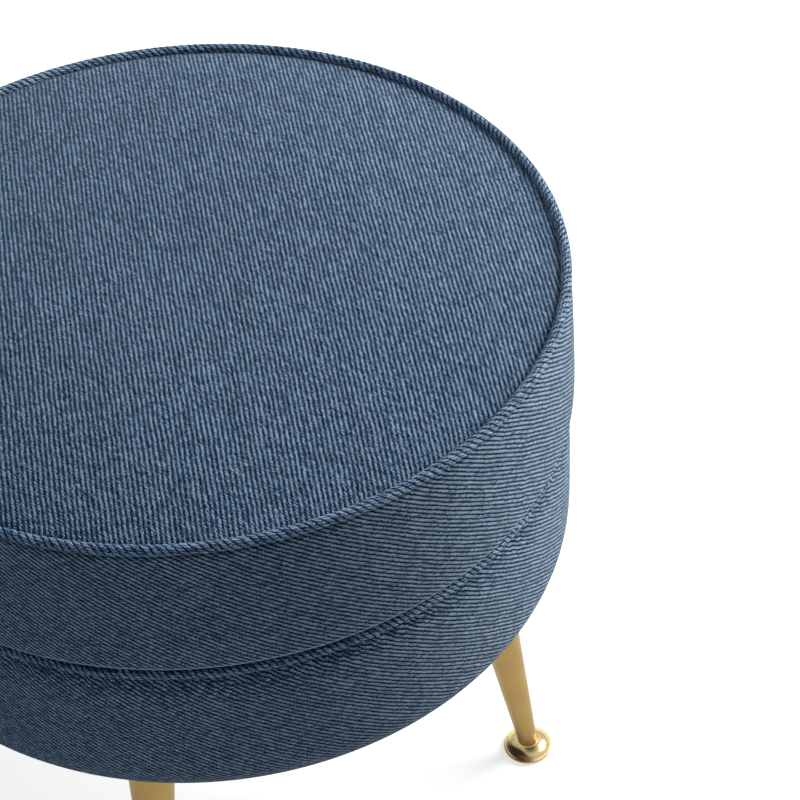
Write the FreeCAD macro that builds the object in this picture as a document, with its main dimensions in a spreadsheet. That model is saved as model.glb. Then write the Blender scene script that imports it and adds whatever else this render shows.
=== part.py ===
import FreeCAD, Part
import math
import os
import Sketcher

# Round upholstered pouf: a crowned, piped seat cushion on a padded drum, carried by four splayed legs.
# Millimetres, +Z up, origin on the floor at the middle of the four feet.

doc = FreeCAD.newDocument("Pouf")

# Driving dimensions
SIZES = {
    # Upholstery
    "cloth": 1.2,                   # thickness of the heavy twill
    "fit_gap": 0.2,                 # clearance between curved faces that lie against each other
    "seam_radius": 240,             # centre line of the piping round the seat
    "piping_width": 6.4,            # diameter of a piping: the cord with its cloth sleeve
    "piping_tab": 10,               # width of the sewn tab that holds a piping
    "crown_rise": 12,               # rise of the seat panel from its edge to its middle
    "fold_overhang": 5.2,           # how far the upper band's fold stands out past the seam
    "fold_round": 6,                # outer radius of that fold
    "band_bulge": 0.7,              # how far the upper band swells between seam and fold
    "groove_inset": 0.4,            # how far the lower piping's centre line lies inside the seam's
    "drum_swell": 2.1,              # how far the lower band stands out past the lower piping's centre line
    "shoulder_drop": 14,            # height over which the lower band swells out of the groove
    "skirt_round": 25,              # outer radius of the lower band's turn at the bottom
    "skirt_drop": 5.7,              # how far the padded edge hangs below the base ring
    "hem_width": 10,                # cloth that lies on the support ring and under the seat board
    "base_hem_width": 12.2,         # cloth that lies under the base ring
    # Padding
    "foam_height": 78,
    "foam_setback": 2,              # from the seam in to the side of the seat foam
    "wadding_edge": 5,              # wadding between the foam and the seam
    "drum_padding": 10.9,           # foam between the drum's wall and the lower band
    # Timber frame
    "base_height": 209.5,           # floor to the underside of the base ring
    "base_thickness": 18,
    "base_width": 116,              # from the base ring's edge in to its hole
    "ring_thickness": 15,
    "ring_width": 56,               # from the support ring's edge in to its hole
    "post_height": 79.5,
    "post_width": 45,
    "post_depth": 28,
    "post_inset": 20,               # from the frame's edge in to the middle of a post
    "wall_thickness": 3,
    "board_thickness": 15,
    "board_setback": 2,             # from the foam's side in to the seat board's edge
    "dust_thickness": 0.6,
    "dust_setback": 0.7,            # from the padded edge in to the dust cover
    # Legs
    "leg_top_width": 34.7,
    "leg_foot_width": 13.4,
    "leg_wall": 1.5,
    "leg_splay": 32.3,              # how far a foot stands outside the top of its leg
    "leg_trim": 4,                  # spare length at each end of a leg, cut off level
    "plate_radius": 28,
    "plate_thickness": 3,
    "plate_margin": 0.8,            # from the dust cover's edge in to a leg plate
    "plate_hole_reach": 22.5,
    "plate_hole_width": 5.2,
    # Feet
    "foot_radius": 17.2,
    "foot_rim": 1.6,
    "foot_lip": 0.8,                # flat edge of the rim outside the flare
    "foot_flare": 10,               # radius of the hollow flare
    "neck_radius": 7.4,
    "neck_height": 8,               # floor to the leg's lower end
    "plug_length": 16,
    "plug_gap": 0.3,                # clearance of a foot's plug in its tube
    "glide_radius": 13,
    "glide_thickness": 1.6,
    "glide_proud": 0.8,             # how far a glide stands out under its foot
    # Fasteners
    "screw_width": 4.5,
    "head_width": 9,
    "head_height": 2.5,
    "plate_screw_length": 18,
    "post_screw_bite": 25,          # depth of a post screw in its post
    "seat_screw_bite": 10,          # depth of a seat screw in the seat board
    "seat_screw_inset": 42,         # from the frame's edge in to a seat screw
    "staple_width": 10,
    "staple_length": 8,
    "staple_wire": 0.9,
    "ring_staple_inset": 5,         # from the frame's edge in to the staples of the upper hems
    "base_staple_inset": 4.2,       # from the padded edge in to the staples of the base hem
}

# Pieces that repeat evenly round the drum; the first leg stands midway between +X and +Y
LEG_CORNERS = ("back_right", "back_left", "front_left", "front_right")
POST_COUNT = 6
SEAT_SCREW_COUNT = 6
STAPLE_COUNT = 16
PLATE_HOLE_COUNT = 3

sheet = doc.addObject("Spreadsheet::Sheet", "Sizes")
for row, (alias, number) in enumerate(SIZES.items(), start=1):
    sheet.set(f"A{row}", alias)
    sheet.set(f"B{row}", str(number))
    sheet.setAlias(f"B{row}", alias)
doc.recompute()


def size(alias):
    """Formula that reads one driving dimension."""
    return f"Sizes.{alias}"


def measure(formula):
    """Present value of a formula, used to draw a sketch before its constraints hold it."""
    return float(sheet.evalExpression(formula))


cloth = size("cloth")
gap = size("fit_gap")
piping_half = f"{size('piping_width')} / 2"

# Levels, from the floor upwards
base_low = size("base_height")
base_top = f"{base_low} + {size('base_thickness')}"
post_top = f"{base_top} + {size('post_height')}"
ring_top = f"{post_top} + {size('ring_thickness')}"
board_low = f"{ring_top} + 4 * {cloth}"
board_top = f"{board_low} + {size('board_thickness')}"
foam_top = f"{board_top} + {size('foam_height')}"
seam_level = f"{foam_top} + {size('wadding_edge')}"
dust_top = f"{base_low} - {cloth}"
plate_top = f"{dust_top} - {size('dust_thickness')}"
plate_low = f"{plate_top} - {size('plate_thickness')}"
neck_level = size("neck_height")

# Radii, from the seam inwards
seam_radius = size("seam_radius")
band_radius = f"{seam_radius} + {size('fold_overhang')}"
foam_radius = f"{seam_radius} - {size('foam_setback')}"
board_radius = f"{foam_radius} - {size('board_setback')}"
groove_radius = f"{seam_radius} - {size('groove_inset')}"
drum_radius = f"{groove_radius} + {size('drum_swell')}"
wall_face = f"{drum_radius} - {cloth} - {gap} - {size('drum_padding')}"
frame_radius = f"{wall_face} - {size('wall_thickness')} - 2 * {gap}"
hem_reach = f"{frame_radius} - {size('hem_width')}"
ring_staple_reach = f"{frame_radius} - {size('ring_staple_inset')}"
post_reach = f"{frame_radius} - {size('post_inset')}"
seat_screw_reach = f"{frame_radius} - {size('seat_screw_inset')}"
skirt_middle = f"{drum_radius} - {size('skirt_round')}"
padded_edge = f"{skirt_middle} - ({size('skirt_drop')} - {cloth})"
base_hem_reach = f"{padded_edge} - {size('base_hem_width')}"
base_staple_reach = f"{padded_edge} - {size('base_staple_inset')}"
dust_radius = f"{padded_edge} - {size('dust_setback')}"
leg_reach = f"{dust_radius} - {size('plate_margin')} - {size('plate_radius')}"
foot_reach = f"{leg_reach} + {size('leg_splay')}"

# Axis of a leaning leg, from its foot to its plate
leg_run = f"({leg_reach} - ({foot_reach}))"
leg_rise = f"({plate_low} - {neck_level})"
leg_length = f"sqrt({leg_run} ^ 2 + {leg_rise} ^ 2)"
leg_foot_half = f"{size('leg_foot_width')} / 2"
leg_top_half = f"{size('leg_top_width')} / 2"

subparts = []
fixings = {}


def origin_feature(body, role):
    """Plane or axis of a body's own origin."""
    return next(feature for feature in body.Origin.OriginFeatures if feature.Role == role)


def new_body(label, turn=0):
    """Empty body, turned about the drum's axis."""
    body = doc.addObject("PartDesign::Body", label)
    body.Label = label
    body.Placement = FreeCAD.Placement(FreeCAD.Vector(), FreeCAD.Rotation(FreeCAD.Vector(0, 0, 1), turn))
    return body


def new_sketch(body, name, role, offset="0"):
    """Sketch on a plane of the body's origin, moved along the plane's normal by a formula."""
    sketch = body.newObject("Sketcher::SketchObject", name)
    sketch.AttachmentSupport = (origin_feature(body, role), [""])
    sketch.MapMode = "FlatFace"
    sketch.setExpression("AttachmentOffset.Base.z", offset)
    return sketch


def hold(sketch, constraint, formula):
    """Adds a dimension to a sketch and ties it to a formula."""
    index = sketch.addConstraint(constraint)
    sketch.setExpression(f"Constraints[{index}]", formula)


def place_point(sketch, shape, end, across, up):
    """Ties a point of a sketch to two formulas, or to an axis where a formula is 0."""
    for kind, formula, axis in (("DistanceX", across, -2), ("DistanceY", up, -1)):
        if formula == "0":
            sketch.addConstraint(Sketcher.Constraint("PointOnObject", shape, end, axis))
        else:
            hold(sketch, Sketcher.Constraint(kind, -1, 1, shape, end, measure(formula)), formula)


def arc_between(start, finish, radius, side):
    """Short arc between two points, with its centre to the left or right of the way between them."""
    chord = finish - start
    sign = 1 if side == "left" else -1
    normal = FreeCAD.Vector(-chord.y, chord.x, 0).normalize() * sign
    centre = (start + finish) * 0.5 + normal * math.sqrt(radius ** 2 - chord.Length ** 2 / 4)
    angles = [math.atan2(point.y - centre.y, point.x - centre.x) for point in (start, finish)]
    if side == "right":
        angles.reverse()
    circle = Part.Circle(centre, FreeCAD.Vector(0, 0, 1), radius)
    return Part.ArcOfCircle(circle, *angles)


def draw_outline(sketch, path):
    """Closed outline through points given by formulas; a point with a radius and a side starts an arc."""
    corners = [FreeCAD.Vector(measure(point[0]), measure(point[1]), 0) for point in path]
    ends = []
    for index, point in enumerate(path):
        start = corners[index]
        finish = corners[(index + 1) % len(path)]
        if len(point) == 2:
            shape = sketch.addGeometry(Part.LineSegment(start, finish), False)
            ends.append((shape, 1, 2))
            continue
        radius, side = point[2:]
        shape = sketch.addGeometry(arc_between(start, finish, measure(radius), side), False)
        ends.append((shape, 1, 2) if side == "left" else (shape, 2, 1))
    for index, (shape, first, last) in enumerate(ends):
        following = ends[(index + 1) % len(ends)]
        sketch.addConstraint(Sketcher.Constraint("Coincident", shape, last, following[0], following[1]))
    for (shape, first, last), point in zip(ends, path):
        place_point(sketch, shape, first, point[0], point[1])
        if len(point) > 2:
            hold(sketch, Sketcher.Constraint("Radius", shape, measure(point[2])), point[2])


def draw_circles(sketch, circles):
    """Circles whose middles and radii follow formulas."""
    for across, up, radius in circles:
        middle = FreeCAD.Vector(measure(across), measure(up), 0)
        shape = sketch.addGeometry(Part.Circle(middle, FreeCAD.Vector(0, 0, 1), measure(radius)), False)
        place_point(sketch, shape, 3, across, up)
        hold(sketch, Sketcher.Constraint("Radius", shape, measure(radius)), radius)


def revolve(body, path):
    """Turns an outline of radius and height about the body's upright axis."""
    sketch = new_sketch(body, f"{body.Label}_section", "XZ_Plane")
    draw_outline(sketch, path)
    turned = body.newObject("PartDesign::Revolution", f"{body.Label}_turned")
    turned.Profile = sketch
    turned.ReferenceAxis = (sketch, ["V_Axis"])
    turned.Angle = 360
    return turned


def pad_circles(body, name, level, circles, height):
    """Upright round bars from one level, all of one height."""
    sketch = new_sketch(body, f"{name}_circles", "XY_Plane", level)
    draw_circles(sketch, circles)
    pad = body.newObject("PartDesign::Pad", name)
    pad.Profile = sketch
    pad.setExpression("Length", height)
    return pad


def repeat_round(body, features, count):
    """Copies features evenly round the drum's axis."""
    pattern = body.newObject("PartDesign::PolarPattern", f"{body.Label}_pattern")
    pattern.Originals = features
    pattern.Axis = (origin_feature(body, "Z_Axis"), [""])
    pattern.Angle = 360
    pattern.Occurrences = count
    body.Tip = pattern


def turned_piece(label, path):
    """Sub-part that is one turned outline about the drum's axis."""
    body = new_body(label)
    revolve(body, path)
    subparts.append(body)


def rectangle(inner, outer, low, high):
    """Outline of a plain ring or disc."""
    return [(inner, low), (outer, low), (outer, high), (inner, high)]


def pierce(label, blank, fixing_names):
    """Sub-part bored by the screws and staples that are driven into it."""
    for name in fixing_names:
        cut = doc.addObject("Part::Cut", f"{label}_for_{name}")
        cut.Base = blank
        cut.Tool = fixings[name]
        blank = cut
    blank.Label = label
    subparts.append(blank)


def bulge_radius(start, finish, bulge):
    """Radius of the arc that swells by a bulge between two points."""
    chord = f"(({start[0]} - ({finish[0]})) ^ 2 + ({start[1]} - ({finish[1]})) ^ 2)"
    return f"{chord} / (8 * {bulge}) + {bulge} / 2"


def make_seat_panel():
    """Crowned seat panel: a thin domed sheet whose edge turns down beside the piping."""
    edge = f"{seam_radius} - {piping_half} - {gap}"
    inside = f"{edge} - {cloth}"
    middle = f"{seam_level} + {size('crown_rise')}"
    hem = f"{foam_top} + {gap}"
    dome = bulge_radius((edge, seam_level), ("0 - (" + edge + ")", seam_level), size("crown_rise"))
    under = f"{seam_level} - {cloth}"
    inner_dome = bulge_radius((inside, under), ("0 - (" + inside + ")", under), size("crown_rise"))
    turned_piece("top_panel", [
        ("0", f"{middle} - {cloth}", inner_dome, "right"),
        (inside, under),
        (inside, hem),
        (edge, hem),
        (edge, seam_level, dome, "left"),
        ("0", middle),
    ])
    pad_edge = f"{inside} - {gap}"
    pad_level = f"{under} - {gap}"
    pad_dome = bulge_radius((pad_edge, pad_level), ("0 - (" + pad_edge + ")", pad_level), size("crown_rise"))
    turned_piece("crown_wadding", [
        ("0", foam_top),
        (pad_edge, foam_top),
        (pad_edge, pad_level, pad_dome, "left"),
        ("0", f"{pad_level} + {size('crown_rise')}"),
    ])


def make_top_piping():
    """Piping of the seat's edge: a round cord whose tab hangs down inside the seam."""
    inner = f"{seam_radius} - {cloth}"
    outer = f"{seam_radius} + {cloth}"
    root = f"{seam_level} - sqrt(({piping_half}) ^ 2 - {cloth} ^ 2)"
    tab_low = f"{root} - {size('piping_tab')}"
    side = f"{seam_radius} + {piping_half}"
    crest = f"{seam_level} + {piping_half}"
    far = f"{seam_radius} - {piping_half}"
    turned_piece("top_piping", [
        (inner, tab_low),
        (outer, tab_low),
        (outer, root, piping_half, "left"),
        (side, seam_level, piping_half, "left"),
        (seam_radius, crest, piping_half, "left"),
        (far, seam_level, piping_half, "left"),
        (inner, root),
    ])


def make_seat_sides():
    """Side of the seat: the band of cloth with its folded hem, and the wadding behind it."""
    top_level = f"{seam_level} - {piping_half} - {gap}"
    top_inside = f"{seam_radius} + {cloth} + {gap}"
    top_outside = f"{top_inside} + {cloth}"
    inner_radius = f"{band_radius} - {cloth}"
    fold_middle = f"{band_radius} - {size('fold_round')}"
    hem_low = f"{board_low} - {cloth}"
    fold_top = f"{hem_low} + {size('fold_round')}"
    swell = bulge_radius((top_outside, top_level), (band_radius, fold_top), size("band_bulge"))
    inner_swell = bulge_radius((top_inside, top_level), (inner_radius, fold_top), size("band_bulge"))
    band = new_body("upper_band_blank")
    revolve(band, [
        (hem_reach, hem_low),
        (fold_middle, hem_low, size("fold_round"), "left"),
        (band_radius, fold_top, swell, "left"),
        (top_outside, top_level),
        (top_inside, top_level, inner_swell, "right"),
        (inner_radius, fold_top, f"{size('fold_round')} - {cloth}", "right"),
        (fold_middle, board_low),
        (hem_reach, board_low),
    ])
    pierce("upper_band", band, ["seat_staples"])
    foam_side = f"{foam_radius} + {gap}"
    wad_top = f"{seam_level} - sqrt(({piping_half}) ^ 2 - {cloth} ^ 2) - {size('piping_tab')} - {gap}"
    turned_piece("side_wadding", [
        (foam_side, board_low),
        (fold_middle, board_low),
        (f"{inner_radius} - {gap}", fold_top),
        (f"{top_inside} - {gap}", wad_top),
        (foam_side, wad_top),
    ])
    turned_piece("seat_foam", rectangle("0", foam_radius, board_top, foam_top))


def make_lower_piping():
    """Piping in the groove: a round cord below the level of its flat tab."""
    tab_low = f"{ring_top} + {cloth}"
    tab_top = f"{ring_top} + 3 * {cloth}"
    level = f"{tab_top} - {piping_half}"
    root = f"{groove_radius} - sqrt(({piping_half}) ^ 2 - ({tab_low} - ({level})) ^ 2)"
    tab_end = f"{root} - {size('piping_tab')}"
    turned_piece("lower_piping", [
        (tab_end, tab_low),
        (root, tab_low, piping_half, "left"),
        (groove_radius, f"{level} - {piping_half}", piping_half, "left"),
        (f"{groove_radius} + {piping_half}", level, piping_half, "left"),
        (groove_radius, tab_top),
        (tab_end, tab_top),
    ])


def make_drum_sides():
    """Side of the drum: the lower band from groove to base hem, and the foam behind it."""
    throat = f"{groove_radius} - {piping_half} - {gap}"
    inner_throat = f"{throat} - {cloth}"
    throat_low = f"{ring_top} + 3 * {cloth} - {size('piping_width')} - {gap}"
    shoulder_low = f"{throat_low} - {size('shoulder_drop')}"
    inner_radius = f"{drum_radius} - {cloth}"
    lowest = f"{base_low} - {size('skirt_drop')}"
    turn_level = f"{lowest} + {size('skirt_round')}"
    inset = f"({drum_radius} - ({throat}))"
    shoulder = f"({size('shoulder_drop')} ^ 2 + {inset} ^ 2) / (2 * {inset})"
    band = new_body("lower_band_blank")
    revolve(band, [
        (base_hem_reach, f"{base_low} - {cloth}"),
        (padded_edge, f"{base_low} - {cloth}"),
        (skirt_middle, lowest, size("skirt_round"), "left"),
        (drum_radius, turn_level),
        (drum_radius, shoulder_low, shoulder, "left"),
        (throat, throat_low),
        (throat, f"{ring_top} + {cloth}"),
        (hem_reach, f"{ring_top} + {cloth}"),
        (hem_reach, ring_top),
        (inner_throat, ring_top),
        (inner_throat, f"{throat_low} - {cloth}", shoulder, "right"),
        (inner_radius, shoulder_low),
        (inner_radius, turn_level, f"{size('skirt_round')} - {cloth}", "right"),
        (skirt_middle, f"{lowest} + {cloth}"),
        (padded_edge, base_low),
        (base_hem_reach, base_low),
    ])
    pierce("lower_band", band, ["ring_staples", "base_staples"])
    foam_face = f"{inner_radius} - {gap}"
    foam_lowest = f"{lowest} + {cloth} + {gap}"
    turned_piece("drum_foam", [
        (f"{padded_edge} + {gap}", base_low),
        (skirt_middle, foam_lowest, f"{size('skirt_round')} - {cloth} - {gap}", "left"),
        (foam_face, turn_level),
        (foam_face, f"{shoulder_low} - {cloth}"),
        (f"{inner_throat} - {gap}", f"{throat_low} - {cloth} - {gap}"),
        (f"{inner_throat} - {gap}", ring_top),
        (wall_face, ring_top),
        (wall_face, base_low),
    ])


def make_screws(label, level, circles_of, shank_length, direction, count, turn=0):
    """Group of round-headed screws; direction is 1 for screws driven upwards and -1 for downwards."""
    body = new_body(label, turn)
    head_circles = circles_of(f"{size('head_width')} / 2")
    shank_circles = circles_of(f"{size('screw_width')} / 2")
    heads = pad_circles(body, f"{label}_heads", level, head_circles, size("head_height"))
    shanks = pad_circles(body, f"{label}_shanks", level, shank_circles, shank_length)
    for pad in (heads, shanks):
        pad.Reversed = direction < 0
    repeat_round(body, [heads, shanks], count)
    fixings[label] = body
    subparts.append(body)


def one_circle(reach):
    """Single circle at a reach from the drum's axis, for any radius."""
    return lambda radius: [(reach, "0", radius)]


def plate_circles(radius, middle):
    """Circles of a leg plate's fixing holes about the plate's middle."""
    circles = []
    for index in range(PLATE_HOLE_COUNT):
        angle = 180 + 360 * index / PLATE_HOLE_COUNT
        across = f"{middle} + {size('plate_hole_reach')} * cos({angle} deg)"
        along = "0" if index == 0 else f"{size('plate_hole_reach')} * sin({angle} deg)"
        circles.append((across, along, radius))
    return circles


def make_staples(label, reach, crown, direction):
    """Group of wire staples; direction is 1 where the legs point up from the crown and -1 where down."""
    body = new_body(label, 180 / STAPLE_COUNT)
    wire = size("staple_wire")
    half = f"{size('staple_width')} / 2"
    inner = f"{half} - {wire}"
    tip = f"{crown} + ({direction}) * {size('staple_length')}"
    under = f"{crown} + ({direction}) * {wire}"
    sketch = new_sketch(body, f"{label}_bend", "YZ_Plane", reach)
    draw_outline(sketch, [
        (f"-({half})", crown),
        (half, crown),
        (half, tip),
        (inner, tip),
        (inner, under),
        (f"-({inner})", under),
        (f"-({inner})", tip),
        (f"-({half})", tip),
    ])
    pad = body.newObject("PartDesign::Pad", f"{label}_wire")
    pad.Profile = sketch
    pad.setExpression("Length", wire)
    repeat_round(body, [pad], STAPLE_COUNT)
    fixings[label] = body
    subparts.append(body)


def make_all_screws():
    """Groups of screws: through the rings into the posts, up into the seat board and through the plates."""
    head = size("head_height")
    posts = one_circle(post_reach)
    make_screws("post_screws_lower", base_low, posts,
                f"{size('base_thickness')} + {size('post_screw_bite')}", 1, POST_COUNT)
    make_screws("post_screws_upper", ring_top, posts,
                f"{size('ring_thickness')} + {size('post_screw_bite')}", -1, POST_COUNT)
    make_screws("seat_screws", f"{post_top} - {head}", one_circle(seat_screw_reach),
                f"{head} + {board_low} - ({post_top}) + {size('seat_screw_bite')}", 1, SEAT_SCREW_COUNT,
                180 / SEAT_SCREW_COUNT)
    make_screws("plate_screws", f"{plate_low} - {head}",
                lambda radius: plate_circles(radius, leg_reach),
                f"{head} + {size('plate_screw_length')}", 1, len(LEG_CORNERS), 180 / len(LEG_CORNERS))


def make_all_staples():
    """Groups of staples: the hems under the seat board, on the support ring and under the base ring."""
    wire = size("staple_wire")
    make_staples("seat_staples", ring_staple_reach, f"{board_low} - {cloth} - {wire}", 1)
    make_staples("ring_staples", ring_staple_reach, f"{ring_top} + {cloth} + {wire}", -1)
    make_staples("base_staples", base_staple_reach, f"{plate_top} - {wire}", 1)


def make_boards():
    """Plywood discs and rings, the bent wall round them, and the dust cover under them."""
    discs = {
        "seat_board": ("0", board_radius, board_low, board_top),
        "support_ring": (f"{frame_radius} - {size('ring_width')}", frame_radius, post_top, ring_top),
        "base_ring": (f"{frame_radius} - {size('base_width')}", frame_radius, base_low, base_top),
        "dust_cover": ("0", dust_radius, plate_top, dust_top),
    }
    driven_into = {
        "seat_board": ["seat_screws", "seat_staples"],
        "support_ring": ["seat_screws", "post_screws_upper", "ring_staples"],
        "base_ring": ["post_screws_lower", "plate_screws", "base_staples"],
        "dust_cover": ["plate_screws", "base_staples"],
    }
    for label, section in discs.items():
        blank = new_body(f"{label}_blank")
        revolve(blank, rectangle(*section))
        pierce(label, blank, driven_into[label])
    turned_piece("drum_wall", rectangle(
        f"{frame_radius} + {gap}", f"{wall_face} - {gap}", base_low, ring_top))


def make_post(index):
    """Upright post between the two rings."""
    label = f"post_{index + 1}"
    half_depth = f"{size('post_depth')} / 2"
    half_width = f"{size('post_width')} / 2"
    near = f"{post_reach} - {half_depth}"
    far = f"{post_reach} + {half_depth}"
    blank = new_body(f"{label}_blank", 360 * index / POST_COUNT)
    sketch = new_sketch(blank, f"{label}_section", "XY_Plane", base_top)
    draw_outline(sketch, [
        (near, f"-({half_width})"),
        (far, f"-({half_width})"),
        (far, half_width),
        (near, half_width),
    ])
    pad = blank.newObject("PartDesign::Pad", f"{label}_length")
    pad.Profile = sketch
    pad.setExpression("Length", size("post_height"))
    pierce(label, blank, ["post_screws_lower", "post_screws_upper"])


def leaning_point(foot, along, radius):
    """Point of a leg's section, by its way up the leg's axis and its distance from that axis."""
    across = f"{foot[0]} + (({along}) * {leg_run} + ({radius}) * {leg_rise}) / {leg_length}"
    up = f"{foot[1]} + (({along}) * {leg_rise} - ({radius}) * {leg_run}) / {leg_length}"
    return across, up


def turn_leaning(body, name, foot, section):
    """Turns a section about a leg's leaning axis, which starts at the foot."""
    sketch = new_sketch(body, f"{name}_section", "XZ_Plane")
    draw_outline(sketch, [leaning_point(foot, along, radius) for along, radius in section])
    axis_ends = [leaning_point(foot, along, "0") for along, radius in section[1:3]]
    axis = Part.LineSegment(*(FreeCAD.Vector(measure(across), measure(up), 0) for across, up in axis_ends))
    shape = sketch.addGeometry(axis, True)
    for end, (across, up) in enumerate(axis_ends, start=1):
        place_point(sketch, shape, end, across, up)
    turned = body.newObject("PartDesign::Revolution", name)
    turned.Profile = sketch
    turned.ReferenceAxis = (sketch, ["Axis0"])
    turned.Angle = 360
    doc.recompute()


def cut_circles(body, name, level, circles, upwards):
    """Cuts round openings through a body, up or down from a level."""
    before = body.Shape.Volume
    sketch = new_sketch(body, f"{name}_circles", "XY_Plane", level)
    draw_circles(sketch, circles)
    pocket = body.newObject("PartDesign::Pocket", name)
    pocket.Profile = sketch
    pocket.Type = "ThroughAll"
    pocket.Reversed = upwards
    doc.recompute()
    if body.Shape.Volume >= before:
        raise RuntimeError(f"{name} cut nothing")


def make_leg(corner, turn):
    """Tapered tube, leaning outwards, with both ends cut level."""
    label = f"leg_{corner}"
    body = new_body(label, turn)
    trim = size("leg_trim")
    taper = f"({leg_top_half} - {leg_foot_half}) / {leg_length}"
    low = f"{leg_foot_half} - {trim} * {taper}"
    high = f"{leg_top_half} + {trim} * {taper}"
    wall = size("leg_wall")
    turn_leaning(body, f"{label}_tube", (foot_reach, neck_level), [
        (f"-{trim}", f"{low} - {wall}"),
        (f"-{trim}", low),
        (f"{leg_length} + {trim}", high),
        (f"{leg_length} + {trim}", f"{high} - {wall}"),
    ])
    cut_circles(body, f"{label}_foot_end", neck_level, [(foot_reach, "0", leg_top_half)], False)
    cut_circles(body, f"{label}_plate_end", plate_low, [(leg_reach, "0", size("plate_radius"))], True)
    subparts.append(body)


def make_leg_plate(corner, turn):
    """Round plate that is welded to a leg and drilled for its screws."""
    label = f"leg_plate_{corner}"
    body = new_body(label, turn)
    disc = [(leg_reach, "0", size("plate_radius"))]
    pad_circles(body, f"{label}_disc", plate_low, disc, size("plate_thickness"))
    doc.recompute()
    holes = plate_circles(f"{size('plate_hole_width')} / 2", leg_reach)
    cut_circles(body, f"{label}_holes", plate_low, holes, True)
    subparts.append(body)


def stand_at_foot(body, turn):
    """Moves a body that is drawn about its own axis to the foot of a leg."""
    body.setExpression("Placement.Base.x", f"({foot_reach}) * cos({turn} deg)")
    body.setExpression("Placement.Base.y", f"({foot_reach}) * sin({turn} deg)")
    subparts.append(body)


def make_foot(corner, turn):
    """Flared foot with a thin rim, a recess for its glide and a leaning plug inside the tube."""
    label = f"foot_{corner}"
    body = new_body(label, turn)
    proud = size("glide_proud")
    recess_level = size("glide_thickness")
    recess_radius = f"{size('glide_radius')} + {gap}"
    rim_top = f"{proud} + {size('foot_rim')}"
    revolve(body, [
        ("0", recess_level),
        (recess_radius, recess_level),
        (recess_radius, proud),
        (size("foot_radius"), proud),
        (size("foot_radius"), rim_top),
        (f"{size('foot_radius')} - {size('foot_lip')}", rim_top, size("foot_flare"), "right"),
        (size("neck_radius"), neck_level),
        ("0", neck_level),
    ])
    doc.recompute()
    plug_radius = f"{leg_foot_half} - {size('leg_wall')} - {size('plug_gap')}"
    turn_leaning(body, f"{label}_plug", ("0", neck_level), [
        (f"-{size('leg_trim')}", "0"),
        (f"-{size('leg_trim')}", plug_radius),
        (size("plug_length"), plug_radius),
        (size("plug_length"), "0"),
    ])
    stand_at_foot(body, turn)


def make_glide(corner, turn):
    """Plain disc let into the underside of a foot, which it holds off the floor."""
    body = new_body(f"glide_{corner}", turn)
    disc = [("0", "0", size("glide_radius"))]
    pad_circles(body, f"glide_{corner}_disc", "0", disc, size("glide_thickness"))
    stand_at_foot(body, turn)


make_all_screws()
make_all_staples()
make_boards()
for post_index in range(POST_COUNT):
    make_post(post_index)
make_seat_panel()
make_top_piping()
make_seat_sides()
make_lower_piping()
make_drum_sides()
for leg_index, corner in enumerate(LEG_CORNERS):
    turn = (leg_index + 0.5) * 360 / len(LEG_CORNERS)
    make_leg(corner, turn)
    make_leg_plate(corner, turn)
    make_foot(corner, turn)
    make_glide(corner, turn)
doc.recompute()

# Every object has to be sound before any file is written
for item in doc.Objects:
    if "Invalid" in item.State or "Error" in item.State:
        raise RuntimeError(f"{item.Label} did not build: {item.State}")
for piece in subparts:
    if piece.Shape.isNull() or not piece.Shape.isValid() or not piece.Shape.Solids:
        raise RuntimeError(f"{piece.Label} has no sound solid")

os.makedirs("parts", exist_ok=True)
for piece in subparts:
    piece.Shape.exportStep(f"parts/{piece.Label}.step")
    print(piece.Label, len(piece.Shape.Solids), round(piece.Shape.Volume, 1))
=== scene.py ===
# %% [markdown]
# # A round pouf in blue twill
#
# This lesson dresses a measured pouf: a seat with a piped edge, a drum below it, and four splayed brass
# legs. The measured model gives every place and size, in metres, with the floor at height zero and Z
# upwards. Its inner pieces keep their shape and only get a finish. The soft ones are made anew, because
# cloth over filling is never as even as a turned solid, and so are the legs and feet, in finer steps.

# %% Load the measured model
import math

import bmesh
import bpy
from mathutils import Matrix, Vector


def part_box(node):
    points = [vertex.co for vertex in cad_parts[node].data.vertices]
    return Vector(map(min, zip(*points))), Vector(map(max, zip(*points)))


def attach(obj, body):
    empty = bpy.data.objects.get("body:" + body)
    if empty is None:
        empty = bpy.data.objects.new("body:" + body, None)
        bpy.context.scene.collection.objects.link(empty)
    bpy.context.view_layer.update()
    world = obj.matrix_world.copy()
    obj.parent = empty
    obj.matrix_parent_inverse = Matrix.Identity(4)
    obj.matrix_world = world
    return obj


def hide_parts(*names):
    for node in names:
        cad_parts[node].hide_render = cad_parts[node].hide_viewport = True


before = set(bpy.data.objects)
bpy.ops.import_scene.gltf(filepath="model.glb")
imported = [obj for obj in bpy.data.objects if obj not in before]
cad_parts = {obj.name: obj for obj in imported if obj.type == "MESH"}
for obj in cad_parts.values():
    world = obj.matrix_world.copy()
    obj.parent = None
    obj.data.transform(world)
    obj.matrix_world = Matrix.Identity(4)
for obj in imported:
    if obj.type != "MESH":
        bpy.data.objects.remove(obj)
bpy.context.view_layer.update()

scene = bpy.context.scene
MM = 0.001
print("nodes in the model:", len(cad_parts))

# %% [markdown]
# ## Camera, floor and light
#
# The photograph was taken from about forty-three degrees above, with a long lens and a slight tilt to the
# side. A product picture has a white floor that still takes a shadow. The floor is a plain matt surface,
# lifted to white only where the camera sees it, directly or mirrored in metal, so that the cloth isn't
# lit by a glowing floor. The studio is white in mirrors too, but darker on the camera's side, where no
# lamp stands. That gives the metal its contrast.

# %% Place the camera
CAMERA_SPOT = (-0.5546, -1.1283, 1.4737)
CAMERA_TURN = -32.17
CAMERA_PITCH = 43.057
CAMERA_ROLL = -3.22
LENS = 117.0
SENSOR_WIDTH = 36.0

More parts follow.
